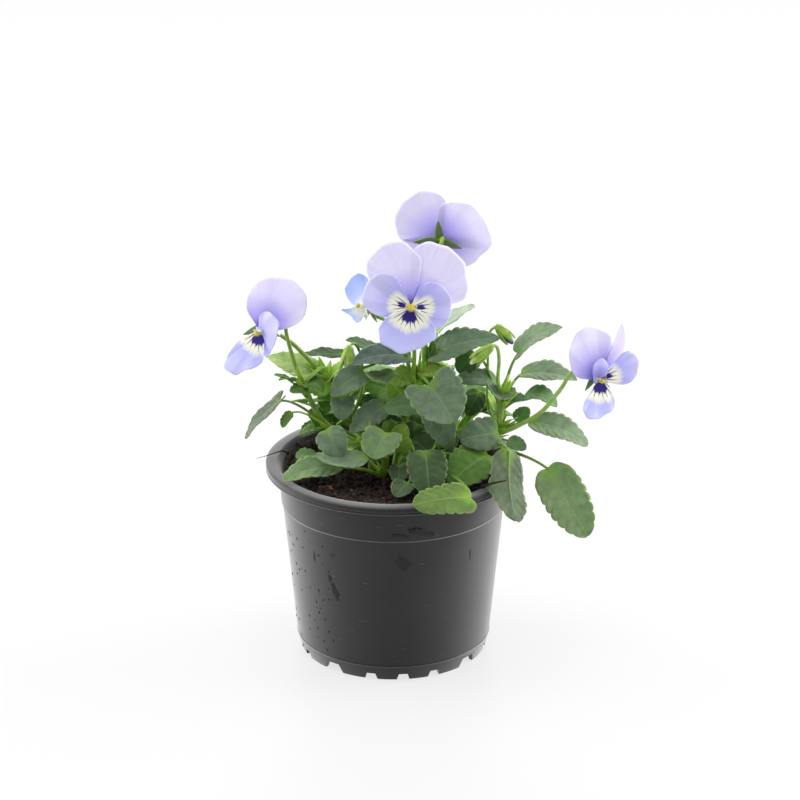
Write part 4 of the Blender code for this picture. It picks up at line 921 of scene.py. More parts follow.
def rounded(corners, steps=3):
    """The outline with each corner replaced by a short arc."""
    points = []
    for number, (r, z, radius) in enumerate(corners):
        corner = Vector((r, z))
        if radius == 0:
            points.append(corner)
            continue
        before = Vector(corners[number - 1][:2]) - corner
        after = Vector(corners[(number + 1) % len(corners)][:2]) - corner
        start = corner + before.normalized() * min(radius, before.length * 0.45)
        end = corner + after.normalized() * min(radius, after.length * 0.45)
        for step in range(steps + 1):
            u = step / steps
            points.append(start * (1 - u) ** 2 + corner * 2 * u * (1 - u) + end * u ** 2)
    return points


print("the pot is", round(POT_HEIGHT / MM, 1), "mm high and", round(2 * RIM_RADIUS / MM, 1), "mm wide")

# %% [markdown]
# The foot has a wide notch on each side and three narrow ones between two of them, and a round drainage
# hole stands behind each wide notch.

# %% Turn the pot and cut its foot
def spoke(degrees, radius, height=0.0):
    """A place on the pot's floor: 0 degrees is the front, and angles grow towards the right."""
    angle = math.radians(degrees)
    return Vector((radius * math.sin(angle), -radius * math.cos(angle), height))


def notch_cutter(bm, degrees, size):
    """A wedge with slanted ends that cuts a notch into the foot."""
    width, height = size
    made = bmesh.ops.create_cube(bm, size=1)["verts"]
    for vertex in made:
        top = vertex.co.z > 0
        vertex.co.x *= width * (NOTCH_TOP_SHARE if top else NOTCH_FOOT_SHARE)
        vertex.co.y *= CUTTER_REACH
        vertex.co.z = height if top else -MM
    bmesh.ops.rotate(bm, verts=made, matrix=Matrix.Rotation(math.radians(degrees), 3, "Z"))
    bmesh.ops.translate(bm, verts=made, vec=spoke(degrees, FOOT_RADIUS))


def make_pot():
    pot = turned("nursery_pot", rounded(pot_profile()), POT_STEPS)
    bm = bmesh.new()
    for wide in WIDE_NOTCHES:
        notch_cutter(bm, wide, WIDE_NOTCH)
        for step in NARROW_NOTCHES:
            notch_cutter(bm, wide + step, NARROW_NOTCH)
        drain = bmesh.ops.create_cone(bm, cap_ends=True, segments=DRAIN_SIDES, radius1=DRAIN_RADIUS,
                                      radius2=DRAIN_RADIUS, depth=DRAIN_CUT)["verts"]
        bmesh.ops.translate(bm, verts=drain, vec=spoke(wide, DRAIN_RING, FLOOR_Z))
    cutter = new_piece("foot_cutters", mesh_of(bm, "foot_cutters"))
    cut = pot.modifiers.new("cut", "BOOLEAN")
    cut.object = cutter
    cut.solver = "EXACT"
    settle(pot)
    bpy.data.objects.remove(cutter)
    pot.data.transform(Matrix.Translation((POT_X, POT_Y, 0)))
    pot.data.set_sharp_from_angle(angle=POT_CREASE)
    pot.data.materials.append(PLASTIC)
    return pot


hand_over(make_pot(), "black_plastic", "pot")

# %% [markdown]
# ## Water drops and films
# The pot has just been watered: fine drops cling to its side, most of them on the left. A drop on
# plastic is a low dome, a little longer downwards, and so smooth that it shows as a dark bead with a
# bright glint.

# %% Drops on the pot's side
WALL_SEARCH_STEPS = 30
DROP_COUNT = 110
DROP_RADII = (0.2, 0.5)
DROP_FLATTENING = 0.55
DROP_STRETCH = 0.5
# The pixels that they cover: from the pot's left edge, ever fewer towards the right, and up and down
DROPS_LEFT = 286
DROPS_REACH = 48
DROPS_CROWDING = 2.2
DROPS_DOWN = (530, 650)


def wall_spot(across, down):
    """The place on the pot's side that shows at a pixel, or None beside the pot."""
    ray = ray_of(across, down)
    axis = Vector((POT_X, POT_Y))
    near = 0
    far = (axis - EYE.to_2d()).dot(ray.to_2d()) / ray.to_2d().length_squared
    if ((EYE + ray * far).to_2d() - axis).length > body_radius((EYE + ray * far).z):
        return None
    for _ in range(WALL_SEARCH_STEPS):
        middle = (near + far) / 2
        place = EYE + ray * middle
        if (place.to_2d() - axis).length > body_radius(place.z):
            near = middle
        else:
            far = middle
    return EYE + ray * far


def wall_lift(foot, height):
    """The place at a height above the wall, also where the band stands proud of the straight side."""
    outward = (foot - Vector((POT_X, POT_Y, foot.z))).normalized()
    return foot + outward * (height + (BAND_STEP if foot.z > BAND_Z else 0)), outward


def make_drops():
    made, tree, shader, _ = new_material("water on black plastic")
    feed(tree, shader, {"Base Color": srgb("161617"), "Roughness": 0.08, "IOR": 1.33})
    draw = random.Random(8)
    bm = bmesh.new()
    for _ in range(DROP_COUNT):
        across = DROPS_LEFT + DROPS_REACH * draw.random() ** DROPS_CROWDING
        foot = wall_spot(across, draw.uniform(*DROPS_DOWN))
        radius = draw.uniform(*DROP_RADII) * MM
        if foot is None:
            continue
        foot, outward = wall_lift(foot, 0)
        for vertex in bmesh.ops.create_icosphere(bm, subdivisions=2, radius=radius)["verts"]:
            flatter = outward * vertex.co.dot(outward) * DROP_FLATTENING
            vertex.co = foot + vertex.co - flatter + Vector((0, 0, vertex.co.z * DROP_STRETCH))
    return smooth_piece("water_drops", bm, made)


hand_over(make_drops(), "black_plastic", "pot")

# %% [markdown]
# Where drops have run together a thin film is left. It washes the dust off, so it shows as a dark patch
# with a ragged edge. Each film is a disc that is laid on the wall, with noise along its outline, and
# thickened into the wall so that it is closed.

# %% Films of water on the front
# Each has its pixel, half its width and height in millimetres, and its slant in degrees
FILMS = (
    (314.5, 557, 0.6, 2.5, 8), (330, 578, 0.8, 2.0, 12), (336, 593, 1.1, 4.8, 22), (402, 563, 3.8, 3.8, 0),
    (421, 532, 5.2, 1.3, -10), (400, 536, 3.0, 0.8, -4), (470, 554, 0.4, 2.6, 0),
)
MM_PER_PIXEL = 0.414
PIXELS_PER_MM = 1 / MM_PER_PIXEL
FILM_STEPS = 56
FILM_RINGS = 6
FILM_RAGGEDNESS = 0.6
FILM_DOME = 0.06 * MM
FILM_THICKNESS = 0.15 * MM


def film_corner(film, share, turn):
    """A corner of a film: share runs from its middle to its edge, and turn goes round it."""
    across, down, wide, tall, slant = film
    on_noise = Vector((1.7 * math.cos(turn), 1.7 * math.sin(turn), across))
    ragged = 1 + FILM_RAGGEDNESS * noise.fractal(on_noise, 0.6, 2.2, 4)
    aside = share * ragged * wide * math.cos(turn) * PIXELS_PER_MM
    up = share * ragged * tall * math.sin(turn) * PIXELS_PER_MM
    lean = math.radians(slant)
    foot = wall_spot(across + aside * math.cos(lean) - up * math.sin(lean),
                     down - up * math.cos(lean) - aside * math.sin(lean))
    return wall_lift(foot, FILM_DOME * (1 - share ** 4))[0]


def make_films():
    made, tree, shader, place = new_material("damp black polypropylene")
    cloud = add(tree, "ShaderNodeTexNoise", {"Vector": place, "Scale": 1 / (2 * MM), "Detail": 3})
    gloss = add(tree, "ShaderNodeMapRange", {0: cloud, 3: 0.28, 4: 0.44})
    feed(tree, shader, {"Base Color": srgb("0B0B0C"), "Specular IOR Level": 0.34, "Roughness": gloss})
    bm = bmesh.new()
    turns = [math.tau * step / FILM_STEPS for step in range(FILM_STEPS)]
    for film in FILMS:
        middle = bm.verts.new(film_corner(film, 0, 0))
        inner = None
        for ring in range(1, FILM_RINGS + 1):
            outer = [bm.verts.new(film_corner(film, ring / FILM_RINGS, turn)) for turn in turns]
            for near in range(FILM_STEPS):
                far = (near + 1) % FILM_STEPS
                if inner is None:
                    bm.faces.new((middle, outer[near], outer[far]))
                else:
                    bm.faces.new((inner[near], outer[near], outer[far], inner[far]))
            inner = outer
    films = smooth_piece("water_films", bm, made)
    wall = films.modifiers.new("wall", "SOLIDIFY")
    wall.thickness = FILM_THICKNESS
    wall.offset = -1
    return settle(films)


hand_over(make_films(), "black_plastic", "pot")

# %% [markdown]
# ## The soil
# The soil fills the pot to a little below the rim, and its top is loose and uneven. The body is turned
# like the pot and its top rings are raised by layered noise. Crumbs are then scattered on it with
# Geometry Nodes, because hundreds of copies of a few small lumps look right where one bumpy surface
# would look like a crust.

# %% The body of the soil
SOIL_TOP = 76.2 * MM
SOIL_RADIUS = 45.8 * MM
SOIL_BANK = 3.6 * MM
SOIL_WAVE = 0.54
SOIL_LUMP = 1.3
SOIL_MARGIN = 1.5 * MM
SOIL_STEPS = 150
SOIL_RINGS = 62


def ground(x, y):
    """Height of the soil at a place beside the pot's axis."""
    wave = math.sin(x / (7 * MM) + 1) * math.cos(y / (9 * MM)) + 0.6 * math.sin((x + 2 * y) / (5 * MM))
    lump = noise.fractal(Vector((x, y, 0)) / (6 * MM), 0.6, 2.2, 5)
    bank = SOIL_BANK * (1 - 0.5 * x / SOIL_RADIUS) * (x * x + y * y) / SOIL_RADIUS ** 2
    return SOIL_TOP + bank + (SOIL_WAVE * wave + SOIL_LUMP * lump) * MM


def make_soil():
    floor = FLOOR_Z + FLOOR_THICKNESS + 0.4 * MM
    rings = [(SOIL_RADIUS * number / SOIL_RINGS, SOIL_TOP) for number in range(SOIL_RINGS + 1)]
    outline = rings + [(body_radius(floor) - WALL - 0.7 * MM, floor), (0, floor)]
    soil = settle(turned("potting_soil", outline, SOIL_STEPS, [PEAT]))
    top = soil.data.attributes.new("top", "BOOLEAN", "POINT")
    for vertex in soil.data.vertices:
        if vertex.co.z > SOIL_TOP - MM:
            top.data[vertex.index].value = vertex.co.xy.length < SOIL_RADIUS - SOIL_MARGIN
            vertex.co.z = ground(vertex.co.x, vertex.co.y)
    soil.data.transform(Matrix.Translation((POT_X, POT_Y, 0)))
    return soil


soil = make_soil()

# %% [markdown]
# ## Geometry node trees
# A tree is built once and used on many pieces. Its inputs are named, and a modifier's input is set by
# the identifier that Blender gives the socket. Each tree ends in Realize Instances and Set Material, so
# that what leaves it is one plain mesh.

# %% Tree helpers
def start_tree(name, inputs):
    """A tree with a mesh going in and out, and inputs given as (label, socket kind, default)."""
    tree = bpy.data.node_groups.new(name, "GeometryNodeTree")
    tree.interface.new_socket("Mesh", in_out="INPUT", socket_type="NodeSocketGeometry")
    for label, kind, value in inputs:
        made = tree.interface.new_socket(label, in_out="INPUT", socket_type=kind)
        if value is not None:
            made.default_value = value
    tree.interface.new_socket("Mesh", in_out="OUTPUT", socket_type="NodeSocketGeometry")
    return tree, add(tree, "NodeGroupInput").outputs


def end_tree(tree, geometry, material):
    real = add(tree, "GeometryNodeRealizeInstances", {0: geometry})
    finish = add(tree, "GeometryNodeSetMaterial", {"Geometry": real, "Material": material})
    add(tree, "NodeGroupOutput", {0: finish})
    print(tree.name, "has", len(tree.nodes), "nodes")
    return tree


def grow(source, tree, values):
    """The plain mesh that a tree makes from an object."""
    modifier = source.modifiers.new(tree.name, "NODES")
    modifier.node_group = tree
    for item in tree.interface.items_tree:
        if item.in_out == "INPUT" and item.name in values:
            modifier[item.identifier] = values[item.name]
    mesh = evaluated_mesh(source)
    source.modifiers.remove(modifier)
    return mesh


# %% [markdown]
# ## Crumbs
# A crumb is a small lump with a few flat sides. Points are scattered with a fixed seed where the soil's
# attribute "top" is true, and each gets one of four lumps, turned at random and scaled between a coarse
# and a fine size.

# %% The crumb tree
def crumb_tree():
    tree, given = start_tree("scatter crumbs", [
        ("Density", "NodeSocketFloat", 300000.0),
        ("Smallest", "NodeSocketFloat", 0.5),
        ("Largest", "NodeSocketFloat", 1.4),
        ("Seed", "NodeSocketInt", 1),
        ("Lumps", "NodeSocketCollection", None),
        ("Finish", "NodeSocketMaterial", None),
    ])
    top = add(tree, "GeometryNodeInputNamedAttribute", {"Name": "top"}, data_type="BOOLEAN")
    points = add(tree, "GeometryNodeDistributePointsOnFaces",
                 {"Mesh": given["Mesh"], "Selection": top, "Density": given["Density"],
                  "Seed": given["Seed"]})
    lumps = add(tree, "GeometryNodeCollectionInfo",
                {"Collection": given["Lumps"], "Separate Children": True, "Reset Children": True})
    turn = add(tree, "FunctionNodeRandomValue",
               {0: (0, 0, 0), 1: (6.3, 6.3, 6.3), "Seed": given["Seed"]}, data_type="FLOAT_VECTOR")
    rotation = add(tree, "FunctionNodeEulerToRotation", {0: turn})
    even = add(tree, "FunctionNodeRandomValue", {2: 0.0, 3: 1.0, "Seed": given["Seed"]}, data_type="FLOAT")
    rare = add(tree, "ShaderNodeMath", {0: even.outputs[1], 1: 3.0}, operation="POWER")
    size = add(tree, "ShaderNodeMapRange", {0: rare, 3: given["Smallest"], 4: given["Largest"]})
    placed = add(tree, "GeometryNodeInstanceOnPoints",
                 {"Points": points, "Instance": lumps, "Pick Instance": True,
                  "Rotation": rotation, "Scale": size})
    return end_tree(tree, placed, given["Finish"])


def lump_collection(radius, count, seed):
    """A few different lumps to pick from."""
    group = bpy.data.collections.new("soil lumps")
    for number in range(count):
        bm = bmesh.new()
        made = bmesh.ops.create_icosphere(bm, subdivisions=1, radius=1)["verts"]
        for vertex in made:
            swell = 1 + 0.7 * noise.noise(vertex.co * 1.3 + Vector((seed + number * 7.3, 0, 0)))
            vertex.co = Vector((vertex.co.x, vertex.co.y * 0.8, vertex.co.z * 0.65)) * (radius * swell)
        mesh = mesh_of(bm, f"lump_{number}")
        group.objects.link(bpy.data.objects.new(f"lump_{number}", mesh))
    return group


CRUMBS = crumb_tree()
lumps = lump_collection(0.7 * MM, 4, 3)


def scatter(name, per_mm2, largest, seed, finish):
    """Crumbs or chips on the soil, as a piece of their own."""
    values = {"Density": per_mm2 / MM ** 2, "Smallest": 0.4, "Largest": largest, "Seed": seed}
    return new_piece(name, grow(soil, CRUMBS, {**values, "Lumps": lumps, "Finish": finish}))


crumbs = scatter("soil_crumbs", 0.7, 3.0, 5, PEAT)
chips = scatter("bark_chips", 0.07, 2.2, 11, BARK)
for lump in list(lumps.objects):
    bpy.data.objects.remove(lump)
for piece in (soil, crumbs, chips):
    hand_over(piece, "peat_soil", "soil")

# %% [markdown]
# Dry bark floats up and stays pale on top of the peat. A handful of bits lie at the left, where the
# leaves leave the soil bare.

# %% A few pale bits of bark
TAN_BARK = peat("dry bark", "8A5A32", "B98148", "DDB077", 2 * MM)
TAN_SPOTS = (
    (320, 491), (323, 489), (326, 491), (329, 490), (324, 493), (331, 493), (318, 488), (344, 486),
)
TAN_RISE = 3.0 * MM


def make_tan_bark():
    draw = random.Random(31)
    bm = bmesh.new()
    for across, down in TAN_SPOTS:
        ray = ray_of(across, down)
        place = EYE + ray * ((SOIL_TOP + TAN_RISE - EYE.z) / ray.z)
        place.z = ground(place.x - POT_X, place.y - POT_Y) + 0.7 * MM
        size = Vector((draw.uniform(0.8, 1.7), draw.uniform(0.5, 0.9), draw.uniform(0.3, 0.6))) * MM
        turn = Matrix.Rotation(draw.uniform(0, math.tau), 3, "Z")
        for vertex in bmesh.ops.create_icosphere(bm, subdivisions=2, radius=1)["verts"]:
            swell = 1 + 0.35 * noise.noise(vertex.co * 1.7 + place / MM)
            vertex.co = place + turn @ (vertex.co * swell * size)
    return new_piece("tan_bark", mesh_of(bm, "tan_bark"), [TAN_BARK])


hand_over(make_tan_bark(), "peat_soil", "soil")

# %% [markdown]
# ## Stems and stalks
# A violet's stem is ribbed, not round, and it curves evenly between its leaf joints. Each stem is drawn
# as a chain of points with a radius and a tint at each. A tree turns the chains to curves, smooths them,
# and sweeps a star with blunt points along them, scaled by the radius: that gives the ribs, and one
# tree serves stems, leaf stalks, flower stalks and even the fibres in the soil.

# %% The stalk tree
def stalk_tree():
    tree, given = start_tree("sweep stalks", [
        ("Step", "NodeSocketFloat", 0.8 * MM),
        ("Ribs", "NodeSocketInt", 5),
        ("Groove", "NodeSocketFloat", 0.86),
        ("Finish", "NodeSocketMaterial", None),
    ])
    chains = add(tree, "GeometryNodeMeshToCurve", {0: given["Mesh"]})
    smooth = add(tree, "GeometryNodeCurveSplineType", {0: chains}, spline_type="CATMULL_ROM")
    even = add(tree, "GeometryNodeResampleCurve", {0: smooth, "Length": given["Step"]}, mode="LENGTH")
    star = add(tree, "GeometryNodeCurveStar", {
        "Points": given["Ribs"], "Inner Radius": given["Groove"], "Outer Radius": 1.0})
    radius = add(tree, "GeometryNodeInputNamedAttribute", {"Name": "radius_here"}, data_type="FLOAT")
    swept = add(tree, "GeometryNodeCurveToMesh", {0: even, 1: star, "Scale": radius, "Fill Caps": True})
    soft = add(tree, "GeometryNodeSetShadeSmooth", {0: swept})
    return end_tree(tree, soft, given["Finish"])


class Chains:
    """Gathers chains of points, each point with its radius and tint."""

    def __init__(self):
        self.bm = bmesh.new()
        self.radius = self.bm.verts.layers.float.new("radius_here")
        self.tint = self.bm.verts.layers.float_color.new("tint")

    def add(self, points, radii, tint):
        last = None
        for place, radius in zip(points, radii):
            vertex = self.bm.verts.new(place)
            vertex[self.radius] = radius
            vertex[self.tint] = tint
            if last:
                self.bm.edges.new((last, vertex))
            last = vertex

    def piece(self, name, step, ribs, groove, finish):
        source = new_piece(name + "_chains", mesh_of(self.bm, name + "_chains"))
        made = new_piece(name, grow(source, STALKS, {
            "Step": step, "Ribs": ribs, "Groove": groove, "Finish": finish}))
        bpy.data.objects.remove(source)
        return made


STALKS = stalk_tree()

# %% [markdown]
# ## Fibres in the soil
# Peat is full of fine roots and moss stems. Some two hundred short chains lie on the ground, each bent a
# little, and the stalk tree sweeps them with a three sided profile, which is enough at that size. Two
# thicker roots reach over the rim; their thickness is in millimetres.

# %% Lay the fibres
FIBRE_COUNT = 240
FIBRE_POINTS = 5
RIM_FIBRES = (
    (0.42, [(290, 455, 11), (286, 452, 8), (281, 451, 5), (272, 454, 2), (264, 456.5, 1),
            (256, 458.5, -1)]),
    (0.75, [(476, 492, -25), (485, 486, -33), (492, 483.5, -38), (499, 482, -40), (506, 480.5, -41)]),
)


def make_fibres():
    draw = random.Random(21)
    chains = Chains()
    for _ in range(FIBRE_COUNT):
        angle = draw.uniform(0, math.tau)
        reach = (SOIL_RADIUS - 5 * MM) * math.sqrt(draw.random())
        heading = draw.uniform(0, math.tau)
        x = reach * math.cos(angle)
        y = reach * math.sin(angle)
        step = draw.uniform(1.0, 2.6) * MM
        points = []
        for _ in range(FIBRE_POINTS):
            lift = draw.uniform(0.2, 1.1) * MM
            if math.hypot(x, y) > SOIL_RADIUS - MM:
                break
            points.append(Vector((x + POT_X, y + POT_Y, ground(x, y) + lift)))
            heading += draw.uniform(-0.6, 0.6)
            x += step * math.cos(heading)
            y += step * math.sin(heading)
        thick = draw.uniform(0.09, 0.22) * MM
        if len(points) > 2:
            chains.add(points, [thick * (1 - 0.12 * n) for n in range(len(points))], WHITE)
    return chains.piece("soil_fibres", 0.9 * MM, 3, 0.8, BARK)


def make_rim_fibres():
    """Two dark roots that stick out over the rim."""
    chains = Chains()
    for thick, points in RIM_FIBRES:
        radii = [thick * (1 - 0.16 * number) * MM for number in range(len(points))]
        chains.add([spot(*place) for place in points], radii, WHITE)
    return chains.piece("rim_fibres", 0.7 * MM, 5, 0.8, PEAT)


for piece in (make_fibres(), make_rim_fibres()):
    hand_over(piece, "peat_soil", "soil")

# %% [markdown]
# ## A leaf
# The blade's outline is an ellipse with different ends, cut by rounded teeth. Across the blade the sides
# rise a little from the midrib, each field between two side veins swells, and the margin waves. The
# stalk leaves the stem, bends over, and runs on under the blade as its midrib. All of it is one rule of
# (s, t), so a blade can be drawn as finely as it needs.

# %% The rule of a leaf blade
BLADE_THICKNESS = 0.38 * MM
TOOTH_DEPTH = 0.13
TOOTH_LENGTH = 3.9 * MM
VEIN_CLIMB = 1.25
VEIN_SINK = 0.22 * MM
MARGIN_WAVE = 0.022
BASE_ROUND = 0.15
FEWEST_TEETH = 4
MOST_TEETH = 7


def half_width(leaf, s):
    """Half the blade's smooth width at a share of its length."""
    half = leaf.width * MM / 2
    if s < leaf.widest:
        reach = (leaf.widest - s) / (leaf.widest + leaf.shoulder)
        return half * math.sqrt(1 - reach * reach)
    reach = (s - leaf.widest) / (1.006 - leaf.widest)
    return half * (1 - reach ** (2 - 0.25 * leaf.point)) ** (0.5 + 0.25 * leaf.point)


def along_edge(s, t):
    """The share of the length at (s, t): the base's outer corners start further up, which rounds them."""
    return s + (1 - s) * BASE_ROUND * abs(t) ** 5


def crenation(teeth, s):
    """The rounded teeth, which lean towards the tip: 1 on a tooth, less in the notch between two."""
    within = 2 * ((teeth * s) % 1) ** 1.2 - 1
    depth = TOOTH_DEPTH * min(1, max(0, 5 * s - 0.2))
    return 1 - depth * (1 - math.sqrt(1 - within * within))


def blade_rule(leaf, base, tip, seed):
    """The blade's place, its number of teeth and its direction."""
    length = (tip - base).length
    along = (tip - base) / length
    facing = Vector(leaf.face)
    facing = (facing - along * facing.dot(along)).normalized()
    across = facing.cross(along)
    slope = math.tan(math.radians(leaf.fold))
    teeth = max(FEWEST_TEETH, min(MOST_TEETH, round(length / TOOTH_LENGTH)))
    draw = random.Random(seed)
    phase = draw.uniform(0, math.tau)
    ripple = draw.uniform(1.2, 2.0)

    def place(start, t):
        s = along_edge(start, t)
        side = half_width(leaf, s) * crenation(teeth, start) * t
        back = leaf.lobe * abs(t) ** 1.5 * (1 - s) ** 2
        bow = leaf.arch * 4 * s * (1 - s) * length
        count = start * teeth - VEIN_CLIMB * abs(t)
        field = math.cos(math.pi * count) ** 2
        sunk = VEIN_SINK * (field ** 4) * min(1, 4 * abs(t)) + VEIN_SINK * max(0, 1 - 9 * abs(t)) * (1 - s)
        wave = MARGIN_WAVE * length * t * t * math.sin(math.tau * ripple * s + phase * (1 if t > 0 else 2))
        rise = bow + slope * abs(side) + wave - sunk
        return base + along * (length * (s - back)) + across * side + facing * rise

    return place, teeth, along


print("a blade is", round(BLADE_THICKNESS / MM, 2), "mm thick")

# %% [markdown]
# ## A shoot
# A shoot is a stem with its leaves, its flower stalks and the green parts of its blooms and buds. Beside
# each leaf stalk grow two stipules, small narrow blades that fill the heart of the plant with bright
# green. The leaf blades of a shoot are one mesh, and its stems and stalks another.

# %% Stalks of leaves
LEAF_STALK_RADIUS = 0.85 * MM
LEAF_STALK_STEPS = 6
STEM_FOOT = 69.8 * MM
STEM_RISE = 78.2 * MM


def along_path(path, share):
    """The place at a share of a path's length."""
    lengths = [(b - a).length for a, b in zip(path, path[1:])]
    left = share * sum(lengths)
    for start, end, length in zip(path, path[1:], lengths):
        if left <= length:
            return start.lerp(end, left / length)
        left -= length
    return path[-1].copy()


def stem_path(shoot):
    x = shoot.ground[0] * MM + POT_X
    y = shoot.ground[1] * MM + POT_Y
    return [Vector((x, y, STEM_FOOT)), Vector((x, y, STEM_RISE))] + [spot(*place) for place in shoot.path]


def leaf_stalk(start, heading, base, along):
    """Points of a leaf stalk, which leaves the stem and bends over into the blade's direction."""
    reach = (base - start).length
    straight = (base - start).normalized()
    lead = (heading * 0.35 + straight * 0.65) * reach
    land = (along * 0.5 + straight * 0.5) * reach
    points = []
    for number in range(LEAF_STALK_STEPS + 1):
        t = number / LEAF_STALK_STEPS
        points.append(start * (2 * t ** 3 - 3 * t ** 2 + 1) + lead * (t ** 3 - 2 * t ** 2 + t)
                      + base * (3 * t ** 2 - 2 * t ** 3) + land * (t ** 3 - t ** 2))
    return points


def stipule_rule(root, heading, side, length, width):
    """A narrow pointed blade beside a leaf stalk."""
    across = heading.cross(side).normalized()

    def place(s, t):
        cut = 1 - 0.18 * math.cos(math.pi * 4 * s) ** 8
        half = width / 2 * cut * (math.sin(math.pi * (0.15 + 0.85 * s)) ** 0.8 if s < 0.99 else 0.04)
        return root + heading * (length * s) + side * (length * 0.45 * s * s) + across * (half * t)

    return place


def plain_layout(s, t):
    """The blade's own place: across and along."""
    return (t + 1) / 2, s


PLAIN = (plain_layout, plain_layout)
print("the stems start", round((SOIL_TOP - STEM_FOOT) / MM, 1), "mm deep in the soil")

# %% [markdown]
# The green parts of a bloom grow on the same shoot: a small cup with five sepals, each with a short ear
# that points back along the stalk. On a bud the sepals are still closed round the petals.

# %% Flower parts of a shoot
HUB_HALF = 1.7 * MM
CLEARANCE = 0.35 * MM
CUP_HALF = 1.2 * MM
CUP_RISE = 0.9 * MM
SEPAL_ROOT = 0.7 * MM
EAR_SIZE = (2.2 * MM, 1.7 * MM)
BUD_SEPALS = 5
BUD_TURN = 42
SEPAL_TINT = srgb("667A4E")
BUD_TINT = srgb("93B44C")


def bloom_frame(bloom):
    """The bloom's centre, the way it faces, its right and its top."""
    facing = Vector(bloom.face).normalized()
    top = Vector(bloom.up)
    top = (top - facing * top.dot(facing)).normalized()
    return spot(*bloom.centre), facing, top.cross(facing), top


def sepal_rule(root, outward, facing, length, width):
    """A narrow pointed blade that leans back behind the petals."""
    across = facing.cross(outward)

    def place(s, t):
        half = width / 2 * max(0.0, 1 - s ** 1.7) ** 0.8 * (0.85 + 0.3 * math.sin(math.pi * s))
        trough = 0.25 * MM * abs(t) * (1 - s)
        lean = 2.2 * MM * s * s - trough
        return root + outward * (length * s) + across * (half * t) - facing * lean

    return place


def bud_frame(bud):
    top = spot(*bud.top)
    tip = spot(*bud.tip)
    return top, (tip - top).normalized(), (tip - top).length


def bud_sepal_rule(top, axis, length, outward, out, flare):
    across = axis.cross(outward)

    def place(s, t):
        swell = out * (0.30 + 0.90 * math.sin(math.pi * min(1, s + 0.1) * 0.62))
        half = 1.5 * MM * math.sqrt(max(0.0, 1 - s ** 2.4))
        hug = 0.35 * MM * t * t - flare * s ** 3
        return top + axis * (length * 0.86 * s) + outward * (swell - hug) + across * (half * t)

    return place


def add_calyx(bloom, blades, chains):
    """The five sepals and the green cup behind a bloom. Gives the cup's middle, where the stalk ends."""
    centre, facing, right, top = bloom_frame(bloom)
    cup = centre - facing * (HUB_HALF + CLEARANCE + CUP_HALF) + top * CUP_RISE
    chains.add([cup - facing * CUP_HALF, cup - facing * 0.4 * MM, cup + facing * CUP_HALF],
               [0.9 * MM, 1.75 * MM, 1.5 * MM], SEPAL_TINT)
    for degrees, share in bloom.angles:
        angle = math.radians(degrees)
        outward = right * math.cos(angle) + top * math.sin(angle)
        root = cup - facing * SEPAL_ROOT
        rule = sepal_rule(root, outward, facing, bloom.sepal * share * MM, bloom.sepal * 0.36 * MM)
        blades.add(14, 4, rule, PLAIN, SEPAL_TINT)
        ear = sepal_rule(root, -outward * 0.4 - facing * 0.9, outward, *EAR_SIZE)
        blades.add(6, 2, ear, PLAIN, SEPAL_TINT)
    return cup


def add_bud(bud, blades, chains):
    """A bud's green cup and the five sepals that hug its petals."""
    top, axis, length = bud_frame(bud)
    chains.add([top - axis * 1.3 * MM, top - axis * 0.5 * MM, top + axis * 1.1 * MM],
               [0.9 * MM, 1.6 * MM, 1.4 * MM], BUD_TINT)
    side = axis.cross(Vector(VIEWER)).normalized()
    for number in range(BUD_SEPALS):
        outward = Matrix.Rotation(math.radians(BUD_TURN + 360 / BUD_SEPALS * number), 3, axis) @ side
        rule = bud_sepal_rule(top, axis, length, outward, bud.width * MM / 2, bud.flare * MM)
        blades.add(12, 4, rule, PLAIN, BUD_TINT)


print("green parts for", len(BLOOMS), "blooms and", len(BUDS), "buds")

# %% [markdown]
# ## Hairs
# Violet stems carry short stiff hairs, too fine to see one by one, but they blur the stem's edge against
# the light. A tree scatters slender three sided cones over a stem, each standing on its surface.

# %% The hair tree
def hair_tree():
    tree, given = start_tree("grow hairs", [
        ("Density", "NodeSocketFloat", 0.45 / MM ** 2),
        ("Length", "NodeSocketFloat", 0.55 * MM),
        ("Radius", "NodeSocketFloat", 0.035 * MM),
        ("Seed", "NodeSocketInt", 1),
        ("Finish", "NodeSocketMaterial", None),
    ])
    points = add(tree, "GeometryNodeDistributePointsOnFaces",
                 {"Mesh": given["Mesh"], "Density": given["Density"], "Seed": given["Seed"]})
    hair = add(tree, "GeometryNodeMeshCone",
               {"Vertices": 3, "Radius Top": 0.0, "Radius Bottom": given["Radius"],
                "Depth": given["Length"]})
    size = add(tree, "FunctionNodeRandomValue", {2: 0.5, 3: 1.3, "Seed": given["Seed"]}, data_type="FLOAT")
    placed = add(tree, "GeometryNodeInstanceOnPoints",
                 {"Points": points, "Instance": hair, "Rotation": points.outputs["Rotation"],
                  "Scale": size.outputs[1]})
    return end_tree(tree, placed, given["Finish"])


HAIRS = hair_tree()
HAIR = grainy("violet stem hair", HAIR_TINT, "A9BA86", 2 * MM, 0.6)

# %% [markdown]
# ## Growing
# One function makes a leaf with its stalk and stipules, another a small young leaf somewhere round a
# stem, and the last puts a whole shoot together. A stipule is its turn round the leaf's foot, its length
# and its width in millimetres.

# %% Grow the shoots
FLOWER_STALK_SHARE = 0.82
STIPULES = ((-0.8, 8.5, 3.4), (0.8, 7.5, 3.2), (-1.6, 5.5, 2.3), (1.6, 5.5, 2.3))
STIPULE_TINT = srgb("93B83A")
VEIN_COUNT_START = 8
# Rows for each tooth, and columns
BLADE_GRID = (9, 14)
YOUNG_GRID = (6, 8)
LEAF_SEEDS = 100
YOUNG_SEEDS = 50


def heading_at(path, share):
    """The direction of a path round a share of its length."""
    return (along_path(path, min(1, share + 0.05)) - along_path(path, share - 0.05)).normalized()


